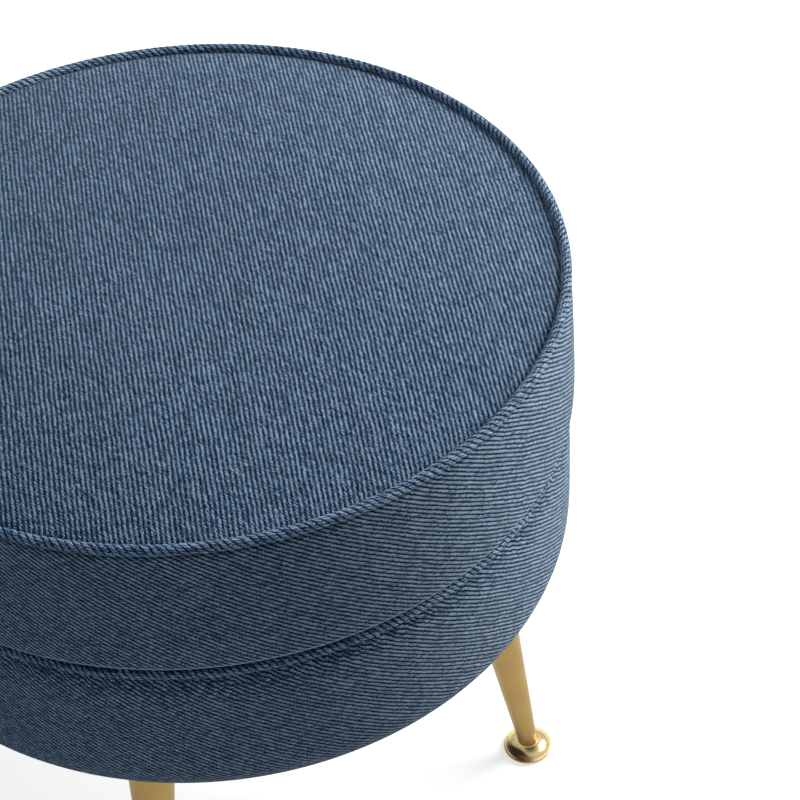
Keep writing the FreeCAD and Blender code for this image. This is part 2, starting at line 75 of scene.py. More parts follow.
camera = bpy.data.objects.new("camera", bpy.data.cameras.new("camera"))
camera.data.lens = LENS
camera.data.sensor_width = SENSOR_WIDTH
turn = Matrix.Rotation(math.radians(CAMERA_TURN), 4, "Z")
tip = Matrix.Rotation(math.radians(90.0 - CAMERA_PITCH), 4, "X")
roll = Matrix.Rotation(math.radians(CAMERA_ROLL), 4, "Z")
camera.matrix_world = Matrix.Translation(CAMERA_SPOT) @ turn @ tip @ roll
scene.collection.objects.link(camera)
scene.camera = camera
scene.view_settings.view_transform = "Standard"
print("camera at", CAMERA_SPOT)

# %% Feed values into node sockets
def feed(tree, socket, value):
    """Link a socket to another one, or set its own value."""
    if isinstance(value, bpy.types.NodeSocket):
        tree.links.new(value, socket)
    else:
        socket.default_value = value


def add_math(tree, operation, *values):
    """A math node as an expression: feed its inputs, return its result."""
    node = tree.nodes.new("ShaderNodeMath")
    node.operation = operation
    for socket, value in zip(node.inputs, values):
        feed(tree, socket, value)
    return node.outputs[0]


def add_ramp(tree, factor, stops):
    """A colour ramp from a list of places and colours."""
    node = tree.nodes.new("ShaderNodeValToRGB")
    feed(tree, node.inputs["Fac"], factor)
    elements = node.color_ramp.elements
    while len(elements) < len(stops):
        elements.new(1.0)
    for element, (place, colour) in zip(elements, stops):
        element.position = place
        element.color = (*colour, 1.0)
    return node.outputs["Color"]


def add_noise(tree, vector, scale, detail=2.0, roughness=0.5):
    """A noise texture's value."""
    node = tree.nodes.new("ShaderNodeTexNoise")
    feed(tree, node.inputs["Vector"], vector)
    node.inputs["Scale"].default_value = scale
    node.inputs["Detail"].default_value = detail
    node.inputs["Roughness"].default_value = roughness
    return node.outputs["Fac"]


def add_range(tree, value, low, high, at_low=0.0, at_high=1.0, kind="LINEAR"):
    """A value carried from one range to another and held at its ends."""
    node = tree.nodes.new("ShaderNodeMapRange")
    node.interpolation_type = kind
    labels = ("Value", "From Min", "From Max", "To Min", "To Max")
    for label, given in zip(labels, (value, low, high, at_low, at_high)):
        feed(tree, node.inputs[label], given)
    return node.outputs["Result"]


def object_place(tree):
    """The place on the object, in metres."""
    return tree.nodes.new("ShaderNodeTexCoord").outputs["Object"]


def new_material(name):
    """An empty node material with its shader."""
    material = bpy.data.materials.new(name)
    material.use_nodes = True
    shader = material.node_tree.nodes["Principled BSDF"]
    return material, material.node_tree, shader


# %% Lay the floor
FLOOR_SIZE = 12.0
FLOOR_CELLS = 8
FLOOR_DROP = 0.3 * MM


def keep_shape(name, shape):
    """Keep a worked shape as a mesh."""
    mesh = bpy.data.meshes.new(name)
    shape.to_mesh(mesh)
    shape.free()
    return mesh


floor_shape = bmesh.new()
bmesh.ops.create_grid(floor_shape, x_segments=FLOOR_CELLS, y_segments=FLOOR_CELLS, size=FLOOR_SIZE / 2)
bmesh.ops.translate(floor_shape, verts=floor_shape.verts, vec=(0.0, 0.0, -FLOOR_DROP))
floor = bpy.data.objects.new("floor", keep_shape("floor", floor_shape))
scene.collection.objects.link(floor)
print("floor is", FLOOR_SIZE, "m wide")

# %% Paint the floor
FLOOR_COLOUR = (0.64, 0.62, 0.56)
NEAR = 0.7
NEAR_LIFT = 0.62
FAR = 3.0
FAR_LIFT = 0.95
WHITE = (1.0, 1.0, 1.0)


def ray_is(tree, *kinds):
    """One for rays of any of these kinds, nothing for all others."""
    path = tree.nodes.new("ShaderNodeLightPath")
    found = 0.0
    for kind in kinds:
        found = add_math(tree, "MAXIMUM", found, path.outputs[f"Is {kind} Ray"])
    return found


def make_floor_material():
    """Matt grey that looks white to the camera, most of all far off, and is clear from below."""
    material, tree, shader = new_material("studio_floor")
    shader.inputs["Base Color"].default_value = (*FLOOR_COLOUR, 1.0)
    shader.inputs["Roughness"].default_value = 0.9
    shader.inputs["Specular IOR Level"].default_value = 0.0
    distance = tree.nodes.new("ShaderNodeVectorMath")
    distance.operation = "LENGTH"
    feed(tree, distance.inputs[0], object_place(tree))
    lift = add_range(tree, distance.outputs["Value"], NEAR, FAR, NEAR_LIFT, FAR_LIFT)
    seen = ray_is(tree, "Camera", "Glossy")
    feed(tree, shader.inputs["Emission Strength"], add_math(tree, "MULTIPLY", seen, lift))
    shader.inputs["Emission Color"].default_value = (*WHITE, 1.0)
    mix = tree.nodes.new("ShaderNodeMixShader")
    feed(tree, mix.inputs["Fac"], tree.nodes.new("ShaderNodeNewGeometry").outputs["Backfacing"])
    feed(tree, mix.inputs[1], shader.outputs["BSDF"])
    feed(tree, mix.inputs[2], tree.nodes.new("ShaderNodeBsdfTransparent").outputs["BSDF"])
    feed(tree, tree.nodes["Material Output"].inputs["Surface"], mix.outputs["Shader"])
    return material


floor.data.materials.append(make_floor_material())
print("floor lifted by", NEAR_LIFT, "near the pouf and", FAR_LIFT, "far off")

# %% Hang the lamps
def soft_light(name, spot, aim, size, power):
    """A large square lamp that looks at a point."""
    lamp = bpy.data.lights.new(name, "AREA")
    lamp.size = size
    lamp.energy = power
    holder = bpy.data.objects.new(name, lamp)
    look = Vector(aim) - Vector(spot)
    holder.matrix_world = Matrix.Translation(spot) @ look.to_track_quat("-Z", "Y").to_matrix().to_4x4()
    holder.visible_camera = False
    scene.collection.objects.link(holder)


SEAT_MIDDLE = (0.0, 0.0, 0.36)
soft_light("back", spot=(0.45, 0.8, 1.3), aim=SEAT_MIDDLE, size=1.0, power=4.5)
soft_light("side", spot=(1.95, -0.3, 1.08), aim=SEAT_MIDDLE, size=1.2, power=75.0)

# %% Light the studio all round
WORLD_GREY = 0.29
WORLD_COLOUR = (0.80, 1.0, 1.28)
FRONT_WAY = (-0.25, -0.968, 0.0)
FRONT_START = 0.35
FRONT_FULL = 0.9
FRONT_DARK = 0.85


def dark_front(tree):
    """How much darker the studio is in mirrors, on the camera's side."""
    facing = tree.nodes.new("ShaderNodeVectorMath")
    facing.operation = "DOT_PRODUCT"
    feed(tree, facing.inputs[0], tree.nodes.new("ShaderNodeTexCoord").outputs["Generated"])
    facing.inputs[1].default_value = FRONT_WAY
    dark = add_math(tree, "MULTIPLY", ray_is(tree, "Glossy"), FRONT_DARK)
    return add_range(tree, facing.outputs["Value"], FRONT_START, FRONT_FULL, 0.0, dark, "SMOOTHSTEP")


def light_world():
    """White where it is seen, and a dim, bluish light from all round."""
    world = bpy.data.worlds.new("studio")
    world.use_nodes = True
    scene.world = world
    tree = world.node_tree
    background = tree.nodes["Background"].inputs
    seen = ray_is(tree, "Camera", "Glossy", "Transmission")
    brightness = add_math(tree, "MULTIPLY_ADD", seen, 1.0 - WORLD_GREY, WORLD_GREY)
    share = add_math(tree, "SUBTRACT", 1.0, dark_front(tree))
    feed(tree, background["Strength"], add_math(tree, "MULTIPLY", brightness, share))
    feed(tree, background["Color"], add_ramp(tree, seen, [(0.0, WORLD_COLOUR), (1.0, WHITE)]))


light_world()
print("studio light:", scene.world.name)

# %% [markdown]
# ## The twill
#
# The cover is a heavy twill: a dark ground with broad, pale ridges that run slantwise, each made of
# short, leaning floats of yarn. One node group draws it from two counts, ridges across and floats along,
# and every piece of the cover brings its own counts, so that the weave keeps its scale on the flat top,
# round the sides and along the piping. A picture of cloth would repeat, and blur when seen closely. A
# drawn weave does neither.

# %% Build the weave as a node group
def new_group(name, inputs, outputs):
    """A shader node group with named sockets, and its two end nodes."""
    group = bpy.data.node_groups.new(name, "ShaderNodeTree")
    for label, kind in inputs:
        group.interface.new_socket(label, in_out="INPUT", socket_type=kind)
    for label, kind in outputs:
        group.interface.new_socket(label, in_out="OUTPUT", socket_type=kind)
    return group, group.nodes.new("NodeGroupInput"), group.nodes.new("NodeGroupOutput")


NUMBER = "NodeSocketFloat"
VECTOR = "NodeSocketVector"
RIDGE_WANDER = 0.6
YARN_JITTER = 0.5
FLOAT_LEAN = 0.9
RIDGE_STAGGER = 9.0
VALLEY_EDGE = 0.42
VALLEY_DEPTH = 1.25
PATCH_GAIN = 1.8
PATCH_SHIFT = -0.30
END_HEIGHT = 0.12
END_ORDER = 0.25
FLOAT_CHANCE = 0.42
FUZZ_RELIEF = 0.5
CLOUD_TONE = 0.06
GROUND_SHARE = 0.25
DRIFT_SCALE = 55.0
JITTER_SCALE = 480.0
PATCH_SCALE = 560.0
FUZZ_SCALE = 1000.0
CLOUD_SCALE = 24.0


def add_wobble(tree, place, scale, detail=2.0, roughness=0.5):
    """Noise about zero."""
    return add_math(tree, "SUBTRACT", add_noise(tree, place, scale, detail, roughness), 0.5)


def sweep(tree, count):
    """A value that runs from -1 to 1 within each whole count."""
    return add_math(tree, "MULTIPLY_ADD", add_math(tree, "FRACT", count), 2.0, -1.0)


def make_weave_group():
    """Ridges of leaning floats: height for the bump, tone for the colour."""
    tree, source, target = new_group(
        "twill_weave",
        [
            ("Across", NUMBER),
            ("Along", NUMBER),
            ("Order", NUMBER),
            ("Narrow", NUMBER),
            ("Grain", NUMBER),
            ("Place", VECTOR),
        ],
        [("Height", NUMBER), ("Tone", NUMBER)],
    )
    place = source.outputs["Place"]
    order = source.outputs["Order"]
    narrow = source.outputs["Narrow"]
    drift = add_wobble(tree, place, DRIFT_SCALE)
    jitter = add_wobble(tree, place, JITTER_SCALE)
    across = add_math(tree, "MULTIPLY_ADD", drift, RIDGE_WANDER, source.outputs["Across"])
    across = add_math(tree, "MULTIPLY_ADD", jitter, YARN_JITTER, across)
    ridge_number = add_math(tree, "FLOOR", across)
    side = sweep(tree, across)
    valley_end = add_math(tree, "ADD", narrow, VALLEY_EDGE)
    fall = add_range(tree, add_math(tree, "ABSOLUTE", side), narrow, valley_end, kind="SMOOTHSTEP")
    patch = add_noise(tree, place, PATCH_SCALE, roughness=0.6)
    patchy = add_math(tree, "MULTIPLY_ADD", patch, PATCH_GAIN, PATCH_SHIFT)
    even = add_math(tree, "SUBTRACT", VALLEY_DEPTH, patchy)
    depth = add_math(tree, "MULTIPLY_ADD", even, order, patchy)
    ridge = add_math(tree, "SUBTRACT", 1.0, add_math(tree, "MULTIPLY", fall, depth))

    start = tree.nodes.new("ShaderNodeTexWhiteNoise")
    start.noise_dimensions = "1D"
    feed(tree, start.inputs["W"], ridge_number)
    along = add_math(tree, "MULTIPLY_ADD", start.outputs["Value"], RIDGE_STAGGER, source.outputs["Along"])
    along = add_math(tree, "MULTIPLY_ADD", side, FLOAT_LEAN, along)
    along = add_math(tree, "MULTIPLY_ADD", jitter, 2.0 * YARN_JITTER, along)
    float_number = add_math(tree, "FLOOR", along)
    end = add_math(tree, "ABSOLUTE", sweep(tree, along))
    hump = add_math(tree, "SUBTRACT", 1.0, add_math(tree, "POWER", end, 2.0))

    pair = tree.nodes.new("ShaderNodeCombineXYZ")
    feed(tree, pair.inputs["X"], ridge_number)
    feed(tree, pair.inputs["Y"], float_number)
    chance = tree.nodes.new("ShaderNodeTexWhiteNoise")
    chance.noise_dimensions = "2D"
    feed(tree, chance.inputs["Vector"], pair.outputs["Vector"])
    odd = add_math(tree, "SUBTRACT", chance.outputs["Value"], 0.5)

    low_end = add_math(tree, "MULTIPLY_ADD", order, END_ORDER, END_HEIGHT)
    swell = add_math(tree, "MULTIPLY_ADD", hump, add_math(tree, "SUBTRACT", 1.0, low_end), low_end)
    relief = add_math(tree, "MULTIPLY", ridge, swell)
    fuzz = add_wobble(tree, place, FUZZ_SCALE, roughness=0.7)
    height = add_math(tree, "MULTIPLY_ADD", fuzz, FUZZ_RELIEF, relief)
    tree.links.new(height, target.inputs["Height"])

    grain = add_math(tree, "MULTIPLY", fuzz, source.outputs["Grain"])
    uneven = add_math(tree, "MULTIPLY_ADD", odd, FLOAT_CHANCE, grain)
    cloud = add_wobble(tree, place, CLOUD_SCALE, detail=3.0)
    uneven = add_math(tree, "MULTIPLY_ADD", cloud, CLOUD_TONE, uneven)
    # The tone follows the relief: the valleys are darkened partly as painted shade, and the highest floats
    # are paler partly as a painted highlight.
    on_ridge = add_math(tree, "MAXIMUM", ridge, GROUND_SHARE)
    tone = add_math(tree, "MULTIPLY_ADD", uneven, on_ridge, relief)
    tree.links.new(tone, target.inputs["Tone"])
    return tree


weave_group = make_weave_group()
print("weave nodes:", len(weave_group.nodes))

# %% [markdown]
# The colours run from nearly navy between the ridges, through slate blue on them, to a pale grey-blue
# on the floats that stand highest. The navy is partly the cloth's own and partly painted shade in the
# valleys, and the pale grey-blue is partly a painted highlight. A little sheen stands for the loose fibres.

# %% Finish a twill material from its thread counts
TWILL_STOPS = [
    (0.05, (0.004, 0.013, 0.032)),
    (0.36, (0.022, 0.053, 0.100)),
    (0.64, (0.088, 0.152, 0.232)),
    (0.92, (0.360, 0.465, 0.590)),
]
WEAVE_RELIEF = 0.8 * MM


def axes_of(tree, vector):
    """The sockets of a vector's X, Y and Z."""
    node = tree.nodes.new("ShaderNodeSeparateXYZ")
    feed(tree, node.inputs["Vector"], vector)
    return node.outputs


def level_mask(tree, place, level, width):
    """One at a level, falling to nothing above and below it."""
    rise = add_math(tree, "SUBTRACT", axes_of(tree, place)["Z"], level)
    off = add_math(tree, "DIVIDE", rise, width)
    square = add_math(tree, "MULTIPLY", off, off)
    return add_math(tree, "EXPONENT", add_math(tree, "MULTIPLY", square, -1.0))


def add_bump(tree, shader, height, strength, distance):
    """Shade a surface as if a height stood out of it."""
    bump = tree.nodes.new("ShaderNodeBump")
    bump.inputs["Strength"].default_value = strength
    bump.inputs["Distance"].default_value = distance
    feed(tree, bump.inputs["Height"], height)
    feed(tree, shader.inputs["Normal"], bump.outputs["Normal"])


def make_twill(name, count_threads, order, narrow, grain, edge=None):
    """A twill from a function that counts its threads.

    Order makes its ridges even, narrow makes its valleys thin and grain sets off single yarns.
    An edge is a level, the width of a zone about it and the change of tone there: a paler zone
    is a painted highlight and a darker one painted shade. A paler zone is also stretched smoother.
    """
    material, tree, shader = new_material(name)
    place = object_place(tree)
    across, along = count_threads(tree, place)
    weave = tree.nodes.new("ShaderNodeGroup")
    weave.node_tree = weave_group
    feed(tree, weave.inputs["Across"], across)
    feed(tree, weave.inputs["Along"], along)
    weave.inputs["Order"].default_value = order
    weave.inputs["Narrow"].default_value = narrow
    weave.inputs["Grain"].default_value = grain
    feed(tree, weave.inputs["Place"], place)
    tone = weave.outputs["Tone"]
    height = weave.outputs["Height"]
    if edge is not None:
        level, width, change = edge
        zone = level_mask(tree, place, level, width)
        tone = add_math(tree, "MULTIPLY_ADD", zone, change, tone)
        kept = add_math(tree, "MULTIPLY_ADD", zone, -max(0.0, change), 1.0)
        height = add_math(tree, "MULTIPLY", height, kept)
    feed(tree, shader.inputs["Base Color"], add_ramp(tree, tone, TWILL_STOPS))
    add_bump(tree, shader, height, 1.0, WEAVE_RELIEF)
    shader.inputs["Roughness"].default_value = 0.92
    shader.inputs["Specular IOR Level"].default_value = 0.06
    shader.inputs["Sheen Weight"].default_value = 0.22
    shader.inputs["Sheen Roughness"].default_value = 0.3
    shader.inputs["Sheen Tint"].default_value = (0.85, 0.92, 1.0, 1.0)
    return material


# %% Count the threads of the top
TOP_RIDGE_ANGLE = math.radians(65.6)
TOP_RIDGE_PITCH = 2.93 * MM
FLOAT_PITCH = 2.4 * MM


def turned_sum(tree, place, angle, pitch):
    """How many pitches a place lies along a direction in the level plane."""
    axis = axes_of(tree, place)
    part = add_math(tree, "MULTIPLY", axis["X"], math.cos(angle) / pitch)
    return add_math(tree, "MULTIPLY_ADD", axis["Y"], math.sin(angle) / pitch, part)


def count_top_threads(tree, place):
    """Straight threads over the round top."""
    across = turned_sum(tree, place, TOP_RIDGE_ANGLE - math.pi / 2, TOP_RIDGE_PITCH)
    along = turned_sum(tree, place, TOP_RIDGE_ANGLE, FLOAT_PITCH)
    return across, along


twill_top = make_twill("twill_top", count_top_threads, order=0.03, narrow=0.27, grain=1.8)
print("ridges on the top every", round(TOP_RIDGE_PITCH / MM, 2), "mm")

# %% [markdown]
# ## Seat pad
#
# The seat's top is a round panel over wadding, crowned by a little more than a centimetre and sewn down
# all round beside the piping. A pole in the middle of a disc would pucker in a simulation, so a square
# grid is pressed into the round instead. Then a cloth simulation fills it: its rim and underside are held
# while air pressure lifts it.

# %% Press a square grid into a disc
def disc_place(across, along):
    """A point of the square from -1 to 1 moved to the unit disc, with even cells."""
    if across == 0.0 and along == 0.0:
        return Vector((0.0, 0.0))
    if abs(across) > abs(along):
        reach = across
        angle = math.pi / 4 * along / across
    else:
        reach = along
        angle = math.pi / 2 - math.pi / 4 * across / along
    return Vector((reach * math.cos(angle), reach * math.sin(angle)))


def disc_grid(shape, cells, radius, height):
    """Rows of points on a disc, each at the height for its share of the radius."""
    rows = []
    for i in range(cells + 1):
        row = []
        for j in range(cells + 1):
            spot = disc_place(2.0 * i / cells - 1.0, 2.0 * j / cells - 1.0)
            row.append(shape.verts.new((spot.x * radius, spot.y * radius, height(spot.length))))
        rows.append(row)
    return rows


def pad_mesh(name, radius, cells, top_height, low_level):
    """A closed round pad: a crowned top over a level underside."""
    shape = bmesh.new()
    top = disc_grid(shape, cells, radius, top_height)
    low = disc_grid(shape, cells, radius, lambda reach: low_level)
    for i in range(cells):
        for j in range(cells):
            shape.faces.new((top[i][j], top[i + 1][j], top[i + 1][j + 1], top[i][j + 1]))
            shape.faces.new((low[i][j], low[i][j + 1], low[i + 1][j + 1], low[i + 1][j]))
    for a, b in rim_pairs(cells):
        shape.faces.new((top[a[0]][a[1]], low[a[0]][a[1]], low[b[0]][b[1]], top[b[0]][b[1]]))
    bmesh.ops.recalc_face_normals(shape, faces=shape.faces)
    return keep_shape(name, shape)


def rim_pairs(cells):
    """Neighbouring grid points round the square's rim."""
    rim = [(i, 0) for i in range(cells)]
    rim += [(cells, j) for j in range(cells)]
    rim += [(i, cells) for i in range(cells, 0, -1)]
    rim += [(0, j) for j in range(cells, 0, -1)]
    return zip(rim, rim[1:] + rim[:1])


# %% Fill a piece by cloth simulation
SIMULATED_FRAMES = 20


def add_piece(name, mesh, material):
    """A smooth-shaded piece of the object that stays with its only body."""
    piece = bpy.data.objects.new(name, mesh)
    scene.collection.objects.link(piece)
    mesh.materials.clear()
    mesh.materials.append(material)
    mesh.shade_smooth()
    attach(piece, "root")
    return piece


def fill_with_air(piece, held, pressure, reach):
    """Swell a closed piece whose held points stay put, and keep the result in its mesh."""
    group = piece.vertex_groups.new(name="held")
    group.add(held, 1.0, "REPLACE")
    modifier = piece.modifiers.new("fill", "CLOTH")
    settings = modifier.settings
    settings.vertex_group_mass = "held"
    settings.use_pressure = True
    settings.uniform_pressure_force = pressure
    settings.effector_weights.gravity = 0.0
    for number in range(1, SIMULATED_FRAMES + 1):
        scene.frame_set(number)
    filled = piece.evaluated_get(bpy.context.evaluated_depsgraph_get())
    places = [vertex.co.copy() for vertex in filled.data.vertices]
    piece.modifiers.remove(modifier)
    furthest = 0.0
    for vertex, spot in zip(piece.data.vertices, places):
        move = spot - vertex.co
        furthest = max(furthest, move.length)
        if move.length > reach:
            move = move * (reach / move.length)
        vertex.co += move
    piece.vertex_groups.clear()
    scene.frame_set(1)
    return furthest


# %% Make the seat pad
CLOTH = 1.2 * MM
CORD_RADIUS = 3.2 * MM
FULL_CORD = 3.6 * MM
PAD_CELLS = 110
PAD_RISE_SHARE = 0.9
PAD_EDGE_SHARE = 0.22
PAD_EDGE_POWER = 24
PAD_TUCK = 0.8 * MM
PAD_TUCK_POWER = 70
PAD_GAP = 0.25 * MM
PAD_RIM_SHARE = 0.995
PAD_HELD_DEPTH = 2.0 * MM

piping_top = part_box("top_piping")[1]
seam_radius = piping_top[0] - CORD_RADIUS
seam_level = piping_top[2] - CORD_RADIUS
pad_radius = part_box("top_panel")[1][0]
pad_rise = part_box("top_panel")[1][2] - seam_level
foam_low, foam_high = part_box("seat_foam")


def pad_height(reach):
    """The level at a share of the radius: a shallow dome, full at its edge, tucked into the seam."""
    full = PAD_EDGE_SHARE * (1.0 - reach ** PAD_EDGE_POWER)
    dome = PAD_RISE_SHARE * pad_rise * ((1.0 - PAD_EDGE_SHARE) * (1.0 - reach ** 2) + full)
    return seam_level + dome - PAD_TUCK * reach ** PAD_TUCK_POWER


seat_pad = add_piece(
    "seat_pad",
    pad_mesh("seat_pad", pad_radius, PAD_CELLS, pad_height, foam_high[2] + PAD_GAP),
    twill_top,
)


def pad_is_held(spot):
    """The pad's rim and underside stay put."""
    return spot.xy.length > pad_radius * PAD_RIM_SHARE or spot.z < foam_high[2] + PAD_HELD_DEPTH


held = [vertex.index for vertex in seat_pad.data.vertices if pad_is_held(vertex.co)]
lift = fill_with_air(seat_pad, held, pressure=4.0, reach=4.0 * MM)
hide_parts("top_panel", "crown_wadding")
pad_top = max(vertex.co.z for vertex in seat_pad.data.vertices)
print("seat pad moved at most", round(lift / MM, 2), "mm; top at", round(pad_top, 4))

# %% [markdown]
# ## Sides of the seat and the drum
#
# Two bands wrap the sides. The upper one ends in a clean fold that hangs a little over the groove. The
# lower one starts at the piping in the groove, where sewing has gathered it into small puckers, rounds
# out, and turns under at the bottom. Each is a closed ring with its filling: an outline of radius and
# height, carried round the axis. A Screw modifier would turn an outline too, but here each point also
# keeps its length along the outline, by which the weave is counted.

# %% Carry an outline round the axis
def run(start, end, step):
    """Points from one corner towards another, without the last one."""
    gap = (Vector(end) - Vector(start)).length
    count = max(1, round(gap / step))
    return [tuple(Vector(start).lerp(Vector(end), k / count)) for k in range(count)]


def bend(centre, radius, first, last, count):
    """Points on an arc of the outline, angles in degrees, without the last one."""
    points = []
    for k in range(count):
        angle = math.radians(first + (last - first) * k / count)
        points.append((centre[0] + radius * math.cos(angle), centre[1] + radius * math.sin(angle)))
    return points


def ring_mesh(name, outline, steps):
    """A closed ring from a closed outline, with the length along the outline kept on its points."""
    girth = [0.0]
    for a, b in zip(outline, outline[1:]):
        girth.append(girth[-1] + math.dist(a, b))
    shape = bmesh.new()
    layer = shape.verts.layers.float.new("girth")
    columns = []
    for k in range(steps):
        angle = math.tau * k / steps
        column = []
        for (radius, level), length in zip(outline, girth):
            vertex = shape.verts.new((radius * math.cos(angle), radius * math.sin(angle), level))
            vertex[layer] = length
            column.append(vertex)
        columns.append(column)
    for column, following in zip(columns, columns[1:] + columns[:1]):
        for i in range(len(outline)):
            j = (i + 1) % len(outline)
            shape.faces.new((column[i], following[i], following[j], column[j]))
    bmesh.ops.recalc_face_normals(shape, faces=shape.faces)
    return keep_shape(name, shape)


# %% Count the threads round the bands
BAND_RIDGES = 321
BAND_RIDGE_DROP = 3.46 * MM
BAND_FLOATS = 580
BAND_FLOAT_DROP = 4.6 * MM
BAND_ORDER = 0.62
BAND_NARROW = 0.41
BAND_GRAIN = 1.7


def turn_share(tree, place):
    """The share of a turn round the pouf's axis, from minus a half to a half."""
    axis = axes_of(tree, place)
    angle = add_math(tree, "ARCTAN2", axis["Y"], axis["X"])
    return add_math(tree, "DIVIDE", angle, math.tau)


def count_band_threads(tree, place):
    """Threads that slope down to the right all round, without a break."""
    share = turn_share(tree, place)
    girth = tree.nodes.new("ShaderNodeAttribute")
    girth.attribute_name = "girth"
    length = girth.outputs["Fac"]
    ridges = add_math(tree, "MULTIPLY", share, float(-BAND_RIDGES))
    across = add_math(tree, "MULTIPLY_ADD", length, -1.0 / BAND_RIDGE_DROP, ridges)
    floats = add_math(tree, "MULTIPLY", share, float(BAND_FLOATS))
    along = add_math(tree, "MULTIPLY_ADD", length, -1.0 / BAND_FLOAT_DROP, floats)
    return across, along


# %% Make the upper band with its wadding
HEM_REACH = 216.0 * MM
FOLD_ROUND = 6.0 * MM
FOLD_HIGHLIGHT_RISE = 3.2 * MM
FOLD_HIGHLIGHT_WIDTH = 1.3 * MM
FOLD_HIGHLIGHT_GAIN = 0.75
FILLING_INSIDE = 238.3 * MM
CRADLE_GAP = 0.1 * MM
UPPER_BULGE = 0.3 * MM
UPPER_STEPS = 400
ROW = 4.0 * MM

upper_low, upper_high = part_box("upper_band")
hem_level = upper_low[2]
fold_radius = upper_high[0]
CRADLE = FULL_CORD + CRADLE_GAP
upper_top_radius = seam_radius + CRADLE * math.cos(math.pi / 4)
upper_top = seam_level - CRADLE * math.sin(math.pi / 4)


def upper_outline():
    """Hem, fold, side, the cradle under the piping and the inside of the filling, anticlockwise."""
    fold_centre = (fold_radius - FOLD_ROUND, hem_level + FOLD_ROUND)
    points = run((HEM_REACH, hem_level), (fold_centre[0], hem_level), 2 * ROW)
    points += bend(fold_centre, FOLD_ROUND, -90.0, 0.0, count=10)
    side = run((fold_radius, fold_centre[1]), (upper_top_radius, upper_top), ROW)
    height = upper_top - fold_centre[1]
    for radius, level in side:
        share = (level - fold_centre[1]) / height
        points.append((radius + UPPER_BULGE * math.sin(math.pi * share), level))
    points += bend((seam_radius, seam_level), CRADLE, -45.0, -120.0, count=8)
    points += run((FILLING_INSIDE, seam_level - CRADLE), (FILLING_INSIDE, hem_level + CLOTH), 3 * ROW)
    points += run((FILLING_INSIDE, hem_level + CLOTH), (HEM_REACH, hem_level + CLOTH), 2 * ROW)
    points += run((HEM_REACH, hem_level + CLOTH), (HEM_REACH, hem_level), CLOTH)
    return points


# A paler zone just above the fold's lower edge is a painted highlight, where the fold's rim catches the
# light.
painted_fold_highlight = (hem_level + FOLD_HIGHLIGHT_RISE, FOLD_HIGHLIGHT_WIDTH, FOLD_HIGHLIGHT_GAIN)
twill_upper = make_twill("twill_upper", count_band_threads, BAND_ORDER, BAND_NARROW, BAND_GRAIN, painted_fold_highlight)
seat_side_mesh = ring_mesh("seat_side", upper_outline(), UPPER_STEPS)
seat_side = add_piece("seat_side", seat_side_mesh, twill_upper)


def held_on_ring(piece, is_free):
    """The points of a ring that stay put: all but the free ones."""
    points = piece.data.vertices
    return [point.index for point in points if not is_free(point.co.xy.length, point.co.z)]


def upper_is_free(radius, level):
    """The upper band's outer face, a little off its fold and seam."""
    return radius > upper_top_radius - CLOTH / 2 and hem_level + FOLD_ROUND < level < upper_top - MM


BAND_PRESSURE = 40.0
BAND_SWELL = 1.5 * MM
moved = fill_with_air(seat_side, held_on_ring(seat_side, upper_is_free), BAND_PRESSURE, BAND_SWELL)
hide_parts("upper_band", "side_wadding")
print("upper band moved at most", round(moved / MM, 2), "mm")

# %% Make the lower band with its foam
DRUM_HEM_REACH = 200.0 * MM
SKIRT_ROUND = 25.0 * MM
SKIRT_EDGE = 4.5 * MM
THROAT_RADIUS = 233.4 * MM
THROAT_RISE = 12.0 * MM
ROLL = 1.8 * MM
PULL = 2.8 * MM
PULL_DEPTH = 15.0 * MM
SEAM_SHADE_WIDTH = 10.0 * MM
SEAM_SHADE_DEPTH = 0.16
DRUM_FILLING_INSIDE = 229.5 * MM
BASE_LEVEL = 209.6 * MM
DRUM_STEPS = 800
FINE_ROW = 0.9 * MM
FREE_FROM_EDGE = 8.0 * MM
FREE_FROM_SEAM = 6.0 * MM

lower_low, lower_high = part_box("lower_band")
drum_radius = lower_high[0]
drum_low = lower_low[2]
throat_top = hem_level - CRADLE_GAP
band_top = throat_top - THROAT_RISE
ring_level = lower_high[2] - CLOTH


def seam_pull(level):
    """How far the seam pulls the band in at a level: fully at the top, not at all further down."""
    share = min(1.0, max(0.0, 1.0 - (band_top - ROLL - level) / PULL_DEPTH))
    return PULL * share * share


def neck():
    """The band's upper part: pulled in by the seam and rolled over below the piping."""
    points = []
    rows = round(PULL_DEPTH / FINE_ROW)
    for k in range(rows):
        level = band_top - ROLL - PULL_DEPTH * (1.0 - k / rows)
        points.append((drum_radius - seam_pull(level), level))
    roll_centre = (drum_radius - PULL - ROLL, band_top - ROLL)
    return points + bend(roll_centre, ROLL, 0.0, 90.0, count=6)


